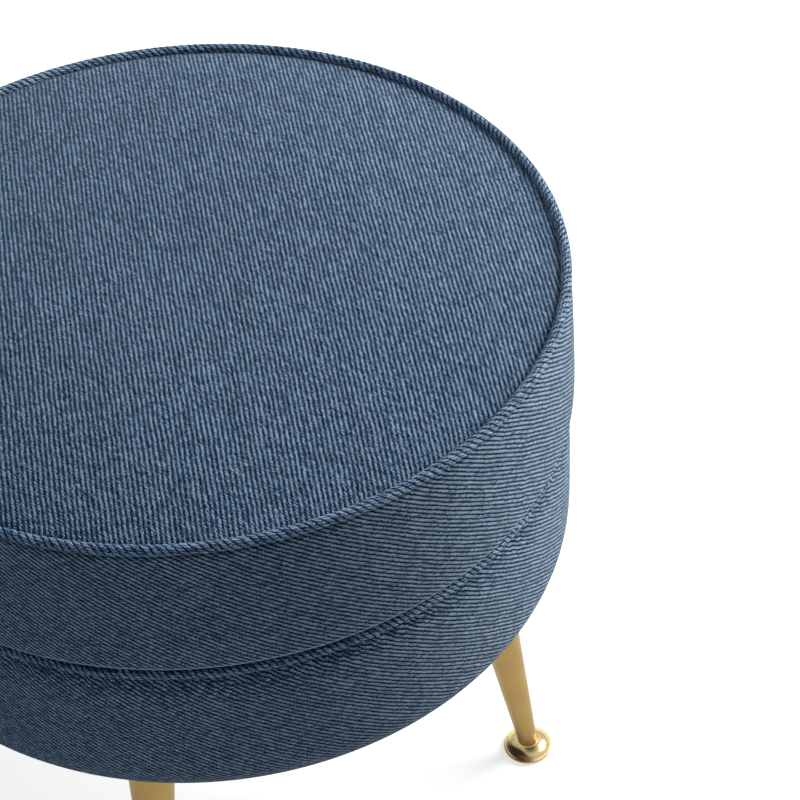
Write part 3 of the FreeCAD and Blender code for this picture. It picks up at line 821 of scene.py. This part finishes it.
def lower_outline():
    """Hem, skirt, side, neck, throat and the inside of the filling, anticlockwise."""
    skirt_centre = (drum_radius - SKIRT_ROUND, drum_low + SKIRT_ROUND)
    edge = (skirt_centre[0] - SKIRT_EDGE, drum_low + SKIRT_EDGE)
    points = run((DRUM_HEM_REACH, edge[1]), edge, 2 * ROW)
    points += run(edge, (skirt_centre[0], drum_low), ROW)
    points += bend(skirt_centre, SKIRT_ROUND, -90.0, 0.0, count=10)
    points += run((drum_radius, skirt_centre[1]), (drum_radius, band_top - ROLL - PULL_DEPTH), ROW)
    points += neck()
    points += run((drum_radius - PULL - ROLL, band_top), (THROAT_RADIUS, band_top), ROW)
    points += run((THROAT_RADIUS, band_top), (THROAT_RADIUS, throat_top), ROW)
    points += run((THROAT_RADIUS, throat_top), (HEM_REACH, throat_top), 3 * ROW)
    points += run((HEM_REACH, throat_top), (HEM_REACH, ring_level), CLOTH)
    points += run((HEM_REACH, ring_level), (DRUM_FILLING_INSIDE, ring_level), 2 * ROW)
    points += run((DRUM_FILLING_INSIDE, ring_level), (DRUM_FILLING_INSIDE, BASE_LEVEL), 5 * ROW)
    points += run((DRUM_FILLING_INSIDE, BASE_LEVEL), (DRUM_HEM_REACH, BASE_LEVEL), 3 * ROW)
    points += run((DRUM_HEM_REACH, BASE_LEVEL), (DRUM_HEM_REACH, edge[1]), CLOTH)
    return points


# The band is darkened for about a centimetre round its top, below the groove: painted shade under the
# overhanging fold.
painted_seam_shade = (band_top, SEAM_SHADE_WIDTH, -SEAM_SHADE_DEPTH)
twill_lower = make_twill("twill_lower", count_band_threads, BAND_ORDER, BAND_NARROW, BAND_GRAIN, painted_seam_shade)
drum_side_mesh = ring_mesh("drum_side", lower_outline(), DRUM_STEPS)
drum_side = add_piece("drum_side", drum_side_mesh, twill_lower)


def lower_is_free(radius, level):
    """The lower band's outer face from the skirt up to where the seam pulls it in."""
    return radius > THROAT_RADIUS and drum_low + FREE_FROM_EDGE < level < band_top - FREE_FROM_SEAM


moved = fill_with_air(drum_side, held_on_ring(drum_side, lower_is_free), BAND_PRESSURE, BAND_SWELL)
print("lower band moved at most", round(moved / MM, 2), "mm")

# %% [markdown]
# Sewing draws the band's edge together, so short folds stand below the seam. They are about a centimetre
# apart, never quite alike, and fade within two centimetres. Moving the points in and out by a wave whose
# phase and height drift round the drum gives them, and the weave bends with them.

# %% Gather the band below its seam
PUCKERS = 131
PUCKER_DEPTH = 0.8 * MM
PUCKER_BEND = 1.1 * MM
PUCKER_FADE = 7.0 * MM
PUCKER_STRENGTH = 0.62
# Each drift has a count of waves round the drum, a size and a start.
PHASE_DRIFTS = [(11, 1.7, 0.4), (23, 1.3, 2.0)]
STRENGTH_DRIFTS = [(7, 0.25, 1.1), (31, 0.13, 0.0)]


def drift_at(angle, drifts):
    """The sum of some slow waves at an angle."""
    return sum(size * math.sin(count * angle + start) for count, size, start in drifts)


def pucker_wave(angle):
    """An uneven wave round the drum, from -1 to 1."""
    phase = PUCKERS * angle + drift_at(angle, PHASE_DRIFTS)
    return (PUCKER_STRENGTH + drift_at(angle, STRENGTH_DRIFTS)) * math.cos(phase)


def gather(piece):
    """Pull the puckers in below the seam, and bend the weave with them."""
    girth = piece.data.attributes["girth"].data
    for vertex in piece.data.vertices:
        radius = vertex.co.xy.length
        depth = band_top - vertex.co.z
        if radius < THROAT_RADIUS + MM or depth < 0.0:
            continue
        fade = math.exp(-depth / PUCKER_FADE)
        start = min(1.0, depth / ROLL)
        wave = pucker_wave(math.atan2(vertex.co.y, vertex.co.x)) * fade * start
        scale = 1.0 + PUCKER_DEPTH * wave / radius
        vertex.co.x *= scale
        vertex.co.y *= scale
        girth[vertex.index].value += PUCKER_BEND * wave


gather(drum_side)
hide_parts("lower_band", "drum_foam")
print("puckers every", round(math.tau * drum_radius / PUCKERS / MM, 1), "mm")

# %% [markdown]
# ## Piping
#
# Piping is a cord in a sleeve of the same twill, cut slantwise, so the ridges wind round it like the
# strands of a rope. That follows a rule, which is what Geometry Nodes are for: a round profile is swept
# along a circle and each point is lifted by the ridge that passes there.

# %% Start, finish and run a node tree
def new_geometry_tree(name, inputs):
    """A geometry node tree with named inputs and its two end nodes."""
    tree = bpy.data.node_groups.new(name, "GeometryNodeTree")
    for label, kind in inputs:
        tree.interface.new_socket(label, in_out="INPUT", socket_type=kind)
    tree.interface.new_socket("Geometry", in_out="OUTPUT", socket_type="NodeSocketGeometry")
    return tree, tree.nodes.new("NodeGroupInput").outputs, tree.nodes.new("NodeGroupOutput").inputs


def add_node(tree, kind, **values):
    """A node with some inputs fed by name; spaces in the names are underscores here."""
    node = tree.nodes.new(kind)
    for label, value in values.items():
        feed(tree, node.inputs[label.replace("_", " ")], value)
    return node


def finish_tree(tree, geometry, material, target):
    """End a tree with real geometry in its material."""
    real = add_node(tree, "GeometryNodeRealizeInstances", Geometry=geometry)
    painted = add_node(tree, "GeometryNodeSetMaterial", Geometry=real.outputs[0], Material=material)
    tree.links.new(painted.outputs[0], target["Geometry"])


def grow(name, tree, values):
    """Run a tree once and keep what it makes as a plain mesh."""
    holder = bpy.data.objects.new(name, bpy.data.meshes.new(name))
    scene.collection.objects.link(holder)
    modifier = holder.modifiers.new("grow", "NODES")
    modifier.node_group = tree
    for item in tree.interface.items_tree:
        if item.in_out == "INPUT":
            modifier[item.identifier] = values[item.name]
    made = bpy.data.meshes.new_from_object(holder.evaluated_get(bpy.context.evaluated_depsgraph_get()))
    bpy.data.objects.remove(holder)
    return made


# %% Build the piping's node tree
PIPING_PROFILE = 16
PIPING_WRAPS = 4.0
RIDGE_POWER = 1.9


def level_reach(tree, axis):
    """The distance from the pouf's axis."""
    squares = add_math(tree, "MULTIPLY", axis["Y"], axis["Y"])
    squares = add_math(tree, "MULTIPLY_ADD", axis["X"], axis["X"], squares)
    return add_math(tree, "SQRT", squares)


def make_piping_tree():
    """A ring of cord with ridges wound round it."""
    tree, given, target = new_geometry_tree(
        "wound_piping",
        [
            ("Ring radius", NUMBER),
            ("Cord radius", NUMBER),
            ("Level", NUMBER),
            ("Ridges", NUMBER),
            ("Relief", NUMBER),
            ("Steps", "NodeSocketInt"),
            ("Material", "NodeSocketMaterial"),
        ],
    )
    ring = add_node(
        tree, "GeometryNodeCurvePrimitiveCircle", Resolution=given["Steps"], Radius=given["Ring radius"]
    )
    profile = add_node(
        tree, "GeometryNodeCurvePrimitiveCircle", Resolution=PIPING_PROFILE, Radius=given["Cord radius"]
    )
    tube = add_node(
        tree, "GeometryNodeCurveToMesh", Curve=ring.outputs["Curve"], Profile_Curve=profile.outputs["Curve"]
    )
    axis = axes_of(tree, tree.nodes.new("GeometryNodeInputPosition").outputs[0])
    turn_angle = add_math(tree, "ARCTAN2", axis["Y"], axis["X"])
    reach = add_math(tree, "SUBTRACT", level_reach(tree, axis), given["Ring radius"])
    tube_angle = add_math(tree, "ARCTAN2", axis["Z"], reach)
    wound = add_math(tree, "MULTIPLY", tube_angle, PIPING_WRAPS)
    turned = add_math(tree, "MULTIPLY_ADD", turn_angle, given["Ridges"], wound)
    side = sweep(tree, add_math(tree, "DIVIDE", turned, math.tau))
    fall = add_math(tree, "POWER", add_math(tree, "ABSOLUTE", side), RIDGE_POWER)
    lift = add_math(tree, "MULTIPLY", add_math(tree, "SUBTRACT", 0.5, fall), given["Relief"])
    outward = tree.nodes.new("GeometryNodeInputNormal").outputs[0]
    move = tree.nodes.new("ShaderNodeVectorMath")
    move.operation = "SCALE"
    feed(tree, move.inputs[0], outward)
    feed(tree, move.inputs["Scale"], lift)
    wavy = add_node(tree, "GeometryNodeSetPosition", Geometry=tube.outputs["Mesh"], Offset=move.outputs[0])
    height = add_node(tree, "ShaderNodeCombineXYZ", Z=given["Level"])
    raised = add_node(
        tree, "GeometryNodeTransform", Geometry=wavy.outputs[0], Translation=height.outputs[0]
    )
    finish_tree(tree, raised.outputs[0], given["Material"], target)
    return tree


piping_tree = make_piping_tree()
print("piping nodes:", len(piping_tree.nodes))

# %% Sew in both pipings
PIPING_FLOATS = 7.0
STEPS_PER_RIDGE = 8
CORD_SHADE_WIDTH = 1.4 * MM


def count_cord_threads(ring_radius, level, ridges):
    """The counts along a piping: ridges that wind with its real ones, floats along them."""
    def count(tree, place):
        axis = axes_of(tree, place)
        rise = add_math(tree, "SUBTRACT", axis["Z"], level)
        out = add_math(tree, "SUBTRACT", level_reach(tree, axis), ring_radius)
        tube_share = add_math(tree, "DIVIDE", add_math(tree, "ARCTAN2", rise, out), math.tau)
        share = turn_share(tree, place)
        wound = add_math(tree, "MULTIPLY", tube_share, PIPING_WRAPS)
        across = add_math(tree, "MULTIPLY_ADD", share, float(ridges), wound)
        crossed = add_math(tree, "MULTIPLY", tube_share, PIPING_FLOATS)
        along = add_math(tree, "MULTIPLY_ADD", share, float(-ridges), crossed)
        return across, along
    return count


def sew_piping(name, node, ring_radius, level, pitch, relief, shade):
    """One piping in place of its plain node."""
    ridges = round(math.tau * ring_radius / pitch)
    counts = count_cord_threads(ring_radius, level, ridges)
    # A shade above nothing darkens the top of the cord: painted shade, as under the fold over the groove.
    edge = (level + FULL_CORD, CORD_SHADE_WIDTH, -shade)
    material = make_twill("twill_" + name, counts, order=0.25, narrow=0.5, grain=1.5, edge=edge)
    mesh = grow(name, piping_tree, {
        "Ring radius": ring_radius,
        "Cord radius": FULL_CORD - relief / 2,
        "Level": level,
        "Ridges": float(ridges),
        "Relief": relief,
        "Steps": ridges * STEPS_PER_RIDGE,
        "Material": material,
    })
    piece = add_piece(name, mesh, material)
    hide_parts(node)
    print(name, "has", ridges, "ridges and", len(mesh.polygons), "faces")


GROOVE_DEPTH = 0.8 * MM
GROOVE_DROP = 3.8 * MM
groove_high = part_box("lower_piping")[1]
groove_radius = groove_high[0] - CORD_RADIUS - GROOVE_DEPTH
groove_level = groove_high[2] - CORD_RADIUS - GROOVE_DROP
sew_piping(
    "seat_piping", "top_piping", seam_radius, seam_level,
    pitch=4.7 * MM, relief=0.4 * MM, shade=0.0,
)
sew_piping(
    "groove_piping", "lower_piping", groove_radius, groove_level,
    pitch=4.2 * MM, relief=0.2 * MM, shade=0.2,
)

# %% [markdown]
# ## Legs and feet
#
# The legs are straight, tapered tubes with a satin brass finish. They lean outwards and are cut level at
# both ends. Each stands in a polished foot, turned like the bell of a trumpet. A scaled cylinder would
# lean, but its ends wouldn't be level, so a leg is drawn as level, slightly oval sections along its axis,
# and a foot as an outline carried round its own. The brass has fine lines from brushing: a noise stretched
# along the height makes the polish a little uneven.

# %% Make brass with fine lines
BRUSH_STRETCH = (1.0, 1.0, 0.06)
BRUSH_SCALE = 900.0
TARNISH_SCALE = 35.0
TARNISH_DARK = 0.9
TARNISH_LIGHT = 1.08
TARNISH_START = 0.3
TARNISH_END = 0.7
LINE_DEPTH = 0.02 * MM


def make_brass(name, colour, roughness, line_strength):
    """Brass with faint clouds in its colour and streaks in its polish."""
    material, tree, shader = new_material(name)
    place = object_place(tree)
    stretch = tree.nodes.new("ShaderNodeMapping")
    feed(tree, stretch.inputs["Vector"], place)
    stretch.inputs["Scale"].default_value = BRUSH_STRETCH
    streak = add_noise(tree, stretch.outputs["Vector"], BRUSH_SCALE, detail=4.0, roughness=0.6)
    cloud = add_noise(tree, place, TARNISH_SCALE, detail=3.0)
    darker = tuple(channel * TARNISH_DARK for channel in colour)
    lighter = tuple(channel * TARNISH_LIGHT for channel in colour)
    tones = add_ramp(tree, cloud, [(TARNISH_START, darker), (TARNISH_END, lighter)])
    feed(tree, shader.inputs["Base Color"], tones)
    shader.inputs["Metallic"].default_value = 1.0
    spread = add_math(tree, "SUBTRACT", streak, 0.5)
    uneven = add_math(tree, "MULTIPLY_ADD", spread, line_strength, roughness)
    feed(tree, shader.inputs["Roughness"], uneven)
    add_bump(tree, shader, streak, line_strength, LINE_DEPTH)
    return material


satin_brass = make_brass("satin_brass", (0.365, 0.238, 0.083), roughness=0.42, line_strength=0.25)
polished_brass = make_brass("polished_brass", (0.56, 0.42, 0.215), roughness=0.24, line_strength=0.08)
print("finishes:", satin_brass.name, "and", polished_brass.name)

# %% Draw a leg
CORNERS = ("front_left", "front_right", "back_right", "back_left")
LEG_FOOT_RADIUS = 6.7 * MM
LEG_TOP_RADIUS = 17.35 * MM
LEG_WALL = 1.5 * MM
LEG_ROWS = 24
LEG_STEPS = 72
LEG_CREASE = math.radians(40.0)
NECK_LEVEL = 8.0 * MM


def loop_mesh(name, loops):
    """A closed surface through closed loops of points, the last joined to the first."""
    shape = bmesh.new()
    rings = [[shape.verts.new(point) for point in loop] for loop in loops]
    for ring, following in zip(rings, rings[1:] + rings[:1]):
        for i in range(len(ring)):
            j = (i + 1) % len(ring)
            shape.faces.new((ring[i], ring[j], following[j], following[i]))
    bmesh.ops.recalc_face_normals(shape, faces=shape.faces)
    return keep_shape(name, shape)


def leaning_loop(foot, top, share, radius, stretch):
    """A level section of a leaning round tube: slightly oval in the direction of the lean."""
    centre = foot.lerp(top, share)
    lean = Vector((top.x - foot.x, top.y - foot.y, 0.0)).normalized()
    across = Vector((-lean.y, lean.x, 0.0))
    points = []
    for k in range(LEG_STEPS):
        angle = math.tau * k / LEG_STEPS
        out = lean * (radius * stretch * math.cos(angle))
        points.append(centre + out + across * (radius * math.sin(angle)))
    return points


def middle(box, level):
    """The middle of a box in the level plane, at a level."""
    low, high = box
    return Vector(((low[0] + high[0]) / 2, (low[1] + high[1]) / 2, level))


def make_leg(corner):
    """The tube from the foot's neck to the fixing plate, with its wall."""
    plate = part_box("leg_plate_" + corner)
    foot = middle(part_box("foot_" + corner), NECK_LEVEL)
    top = middle(plate, plate[0][2])
    stretch = (top - foot).length / (top.z - foot.z)
    sections = [(k / LEG_ROWS, 0.0) for k in range(LEG_ROWS + 1)]
    sections += [(1.0, LEG_WALL), (0.0, LEG_WALL)]
    loops = []
    for share, inset in sections:
        radius = LEG_FOOT_RADIUS + (LEG_TOP_RADIUS - LEG_FOOT_RADIUS) * share - inset
        loops.append(leaning_loop(foot, top, share, radius, stretch))
    name = "brass_leg_" + corner
    leg = add_piece(name, loop_mesh(name, loops), satin_brass)
    leg.data.set_sharp_from_angle(angle=LEG_CREASE)
    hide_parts("leg_" + corner)
    return foot


# %% Turn the feet and set the legs in them
FOOT_STEPS = 96
FOOT_RADIUS = 17.2 * MM
FOOT_UNDERSIDE = 0.8 * MM
FOOT_RIM = 1.6 * MM
RIM_ROUND = 0.5 * MM
FOOT_LIP = 0.8 * MM
NECK_RADIUS = 7.0 * MM
NECK_ROUND = 0.15 * MM
FLARE_ROUND = 10.0 * MM
FOOT_HOLLOW = 13.2 * MM
FOOT_CREASE = math.radians(50.0)


def hollow_arc(low, high, radius, count):
    """Points on a hollow arc from the rim up to the neck, without the last one."""
    half = (Vector(high) - Vector(low)) / 2
    off = math.sqrt(radius ** 2 - half.length_squared)
    centre = Vector(low) + half + Vector((half.y, -half.x)).normalized() * off
    first = math.degrees(math.atan2(low[1] - centre.y, low[0] - centre.x))
    last = math.degrees(math.atan2(high[1] - centre.y, high[0] - centre.x))
    return bend(centre, radius, first, last, count)


def foot_outline():
    """Radius and level round the foot's section, from the hollow's edge out, up and back in."""
    rim_top = FOOT_UNDERSIDE + FOOT_RIM
    neck_side = NECK_LEVEL - NECK_ROUND
    bore = LEG_FOOT_RADIUS - LEG_WALL
    points = [(FOOT_HOLLOW, FOOT_UNDERSIDE)]
    points += bend((FOOT_RADIUS - RIM_ROUND, FOOT_UNDERSIDE + RIM_ROUND), RIM_ROUND, -90.0, 0.0, count=5)
    points += bend((FOOT_RADIUS - RIM_ROUND, rim_top - RIM_ROUND), RIM_ROUND, 0.0, 90.0, count=6)
    points += hollow_arc((FOOT_RADIUS - FOOT_LIP, rim_top), (NECK_RADIUS, neck_side), FLARE_ROUND, count=20)
    points += bend((NECK_RADIUS - NECK_ROUND, neck_side), NECK_ROUND, 0.0, 90.0, count=5)
    points += [(bore, NECK_LEVEL), (bore, rim_top), (FOOT_HOLLOW, rim_top)]
    return points


def make_foot(corner, centre):
    """The turned foot under one leg."""
    loops = []
    for radius, level in foot_outline():
        loop = []
        for k in range(FOOT_STEPS):
            angle = math.tau * k / FOOT_STEPS
            loop.append((centre.x + radius * math.cos(angle), centre.y + radius * math.sin(angle), level))
        loops.append(loop)
    name = "brass_foot_" + corner
    foot = add_piece(name, loop_mesh(name, loops), polished_brass)
    foot.data.set_sharp_from_angle(angle=FOOT_CREASE)
    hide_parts("foot_" + corner)


for corner in CORNERS:
    make_foot(corner, make_leg(corner))
print("legs and feet:", len(CORNERS), "of each")

# %% [markdown]
# ## Underside and inside
#
# A black non-woven sheet closes the underside. It is stapled round the edge, and sags a little where the
# base ring leaves it free. A sheet held so tightly hardly hangs, so a formula gives its sag and no
# simulation is needed. Inside are foam, plywood, softwood posts and a hardboard wall. All but the foam
# keep the measured shape, and each gets the finish of its material: one helper makes a stretched,
# two-tone grain with a matching bump.

# %% Make the plain materials
EVEN = (1.0, 1.0, 1.0)
ALONG_X = (0.05, 1.0, 1.0)
ALONG_Z = (1.0, 1.0, 0.05)
DARK_END = 0.32
LIGHT_END = 0.68
ROUGHNESS_SPREAD = 0.2
GRAIN_BUMP = 0.7


def make_grained(name, dark, light, scale, roughness, relief, stretch=EVEN, metallic=0.0):
    """A material whose two tones follow a noise stretched along an axis."""
    material, tree, shader = new_material(name)
    mapping = tree.nodes.new("ShaderNodeMapping")
    feed(tree, mapping.inputs["Vector"], object_place(tree))
    mapping.inputs["Scale"].default_value = stretch
    grain = add_noise(tree, mapping.outputs["Vector"], scale, detail=5.0, roughness=0.6)
    tones = add_ramp(tree, grain, [(DARK_END, dark), (LIGHT_END, light)])
    feed(tree, shader.inputs["Base Color"], tones)
    shader.inputs["Metallic"].default_value = metallic
    change = add_math(tree, "SUBTRACT", grain, 0.5)
    uneven = add_math(tree, "MULTIPLY_ADD", change, ROUGHNESS_SPREAD, roughness)
    feed(tree, shader.inputs["Roughness"], uneven)
    add_bump(tree, shader, grain, GRAIN_BUMP, relief)
    return material


foam = make_grained(
    "foam", (0.62, 0.53, 0.34), (0.86, 0.78, 0.58),
    scale=420.0, roughness=0.95, relief=0.6 * MM,
)
plywood = make_grained(
    "plywood", (0.40, 0.26, 0.13), (0.60, 0.43, 0.25),
    scale=260.0, roughness=0.7, relief=0.15 * MM, stretch=ALONG_X,
)
pine = make_grained(
    "pine", (0.50, 0.32, 0.15), (0.68, 0.49, 0.28),
    scale=180.0, roughness=0.65, relief=0.15 * MM, stretch=ALONG_Z,
)
hardboard = make_grained(
    "hardboard", (0.14, 0.075, 0.04), (0.25, 0.15, 0.085),
    scale=500.0, roughness=0.75, relief=0.1 * MM,
)
zinc_steel = make_grained(
    "zinc_steel", (0.42, 0.42, 0.41), (0.62, 0.62, 0.60),
    scale=340.0, roughness=0.38, relief=0.03 * MM, metallic=1.0,
)
nylon = make_grained(
    "nylon", (0.030, 0.030, 0.031), (0.060, 0.060, 0.062),
    scale=900.0, roughness=0.5, relief=0.04 * MM,
)
non_woven = make_grained(
    "non_woven", (0.008, 0.008, 0.009), (0.030, 0.030, 0.033),
    scale=800.0, roughness=0.9, relief=0.15 * MM,
)

# %% Finish the inner pieces
def paint(material, *names):
    """Give CAD nodes a finish."""
    for name in names:
        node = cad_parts[name]
        if not node.material_slots:
            node.data.materials.append(material)
        for slot in node.material_slots:
            slot.material = material


paint(plywood, "seat_board", "support_ring", "base_ring")
paint(pine, *[f"post_{k}" for k in range(1, 7)])
paint(hardboard, "drum_wall")
paint(zinc_steel, "post_screws_lower", "post_screws_upper", "seat_screws", "plate_screws")
paint(zinc_steel, "seat_staples", "ring_staples", *["leg_plate_" + corner for corner in CORNERS])
paint(nylon, *["glide_" + corner for corner in CORNERS])
print("finishes in the scene:", len(bpy.data.materials))

# %% Make the foam core
CORE_CELLS = 48
CORE_ROUND = 3.0 * MM
CORE_EDGE_POWER = 60
core_radius = foam_high[0]


def core_height(reach):
    """Level foam with a rounded upper edge."""
    return foam_high[2] - CORE_ROUND * reach ** CORE_EDGE_POWER


core_mesh = pad_mesh("seat_core", core_radius, CORE_CELLS, core_height, foam_low[2])
seat_core = add_piece("seat_core", core_mesh, foam)
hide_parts("seat_foam")
print("foam core", round(2 * core_radius, 3), "m wide")

# %% Stretch the dust cover
DUST_CELLS = 90
DUST_SAG = 3.0 * MM
DUST_FREE_REACH = 108.0 * MM
dust_low, dust_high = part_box("dust_cover")
dust_radius = dust_high[0]
dust_level = (dust_low[2] + dust_high[2]) / 2


def dust_height(reach):
    """Level over the base ring, and sagging inside it."""
    free = max(0.0, 1.0 - (reach * dust_radius / DUST_FREE_REACH) ** 2)
    return dust_level - DUST_SAG * free


def dust_mesh(name):
    """A round sheet whose outer side faces down."""
    shape = bmesh.new()
    rows = disc_grid(shape, DUST_CELLS, dust_radius, dust_height)
    for i in range(DUST_CELLS):
        for j in range(DUST_CELLS):
            shape.faces.new((rows[i][j], rows[i][j + 1], rows[i + 1][j + 1], rows[i + 1][j]))
    return keep_shape(name, shape)


dust_sheet = add_piece("dust_sheet", dust_mesh("dust_sheet"), non_woven)
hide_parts("dust_cover")
print("dust cover", round(2 * dust_radius, 3), "m wide")

# %% [markdown]
# Upholsterers staple a dust cover closely, so the few staples of the measured model give way to a full
# row. A tree sets one bent wire on each point of a circle, turned along it, and leaves out those that
# would meet a fixing plate.

# %% Staple the dust cover
STAPLE_PLACES = 48
STAPLES_PER_LEG = 12
STAPLE_HALF = 5.0 * MM
STAPLE_LEG = 6.0 * MM
STAPLE_WIRE = 0.45 * MM
STAPLE_TILT = 0.12
STAPLE_REACH = 208.0 * MM
WIRE_SIDES = 8


def make_staple_tree():
    """Wire staples along a circle, with gaps for the legs."""
    tree, given, target = new_geometry_tree(
        "stapled_hem",
        [
            ("Reach", NUMBER),
            ("Level", NUMBER),
            ("Half width", NUMBER),
            ("Leg length", NUMBER),
            ("Wire radius", NUMBER),
            ("Material", "NodeSocketMaterial"),
        ],
    )
    half = given["Half width"]
    minus_half = add_math(tree, "MULTIPLY", half, -1.0)
    corners = [
        add_node(tree, "ShaderNodeCombineXYZ", X=minus_half, Z=given["Leg length"]),
        add_node(tree, "ShaderNodeCombineXYZ", X=minus_half),
        add_node(tree, "ShaderNodeCombineXYZ", X=half),
        add_node(tree, "ShaderNodeCombineXYZ", X=half, Z=given["Leg length"]),
    ]
    wires = add_node(tree, "GeometryNodeJoinGeometry")
    for first, second in zip(corners, corners[1:]):
        ends = {"Start": first.outputs[0], "End": second.outputs[0]}
        line = add_node(tree, "GeometryNodeCurvePrimitiveLine", **ends)
        tree.links.new(line.outputs[0], wires.inputs[0])
    profile = add_node(
        tree, "GeometryNodeCurvePrimitiveCircle", Resolution=WIRE_SIDES, Radius=given["Wire radius"]
    )
    staple = add_node(
        tree,
        "GeometryNodeCurveToMesh",
        Curve=wires.outputs[0],
        Profile_Curve=profile.outputs[0],
        Fill_Caps=True,
    )
    circle = add_node(tree, "GeometryNodeMeshCircle", Vertices=STAPLE_PLACES, Radius=given["Reach"])
    height = add_node(tree, "ShaderNodeCombineXYZ", Z=given["Level"])
    places = add_node(
        tree, "GeometryNodeTransform", Geometry=circle.outputs[0], Translation=height.outputs[0]
    )
    number = tree.nodes.new("GeometryNodeInputIndex").outputs[0]
    shifted = add_math(tree, "ADD", number, STAPLES_PER_LEG / 2)
    from_leg = add_math(tree, "MODULO", shifted, float(STAPLES_PER_LEG))
    keep = add_math(tree, "GREATER_THAN", from_leg, 0.5)
    axis = axes_of(tree, tree.nodes.new("GeometryNodeInputPosition").outputs[0])
    angle = add_math(tree, "ARCTAN2", axis["Y"], axis["X"])
    tilt = add_node(tree, "FunctionNodeRandomValue", Seed=4)
    tilt.data_type = "FLOAT"
    low, high = [socket for socket in tilt.inputs if socket.type == "VALUE"][:2]
    low.default_value = math.pi / 2 - STAPLE_TILT
    high.default_value = math.pi / 2 + STAPLE_TILT
    value = [socket for socket in tilt.outputs if socket.type == "VALUE"][0]
    turned = add_node(tree, "ShaderNodeCombineXYZ", Z=add_math(tree, "ADD", angle, value))
    rotation = add_node(tree, "FunctionNodeEulerToRotation", Euler=turned.outputs[0])
    staples = add_node(
        tree,
        "GeometryNodeInstanceOnPoints",
        Points=places.outputs[0],
        Selection=keep,
        Instance=staple.outputs[0],
        Rotation=rotation.outputs[0],
    )
    finish_tree(tree, staples.outputs[0], given["Material"], target)
    return tree


staple_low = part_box("base_staples")[0]
staple_mesh = grow("dust_staples", make_staple_tree(), {
    "Reach": STAPLE_REACH,
    "Level": staple_low[2] + STAPLE_WIRE,
    "Half width": STAPLE_HALF,
    "Leg length": STAPLE_LEG,
    "Wire radius": STAPLE_WIRE,
    "Material": zinc_steel,
})
dust_staples = add_piece("dust_staples", staple_mesh, zinc_steel)
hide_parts("base_staples")
print("staple faces:", len(staple_mesh.polygons))
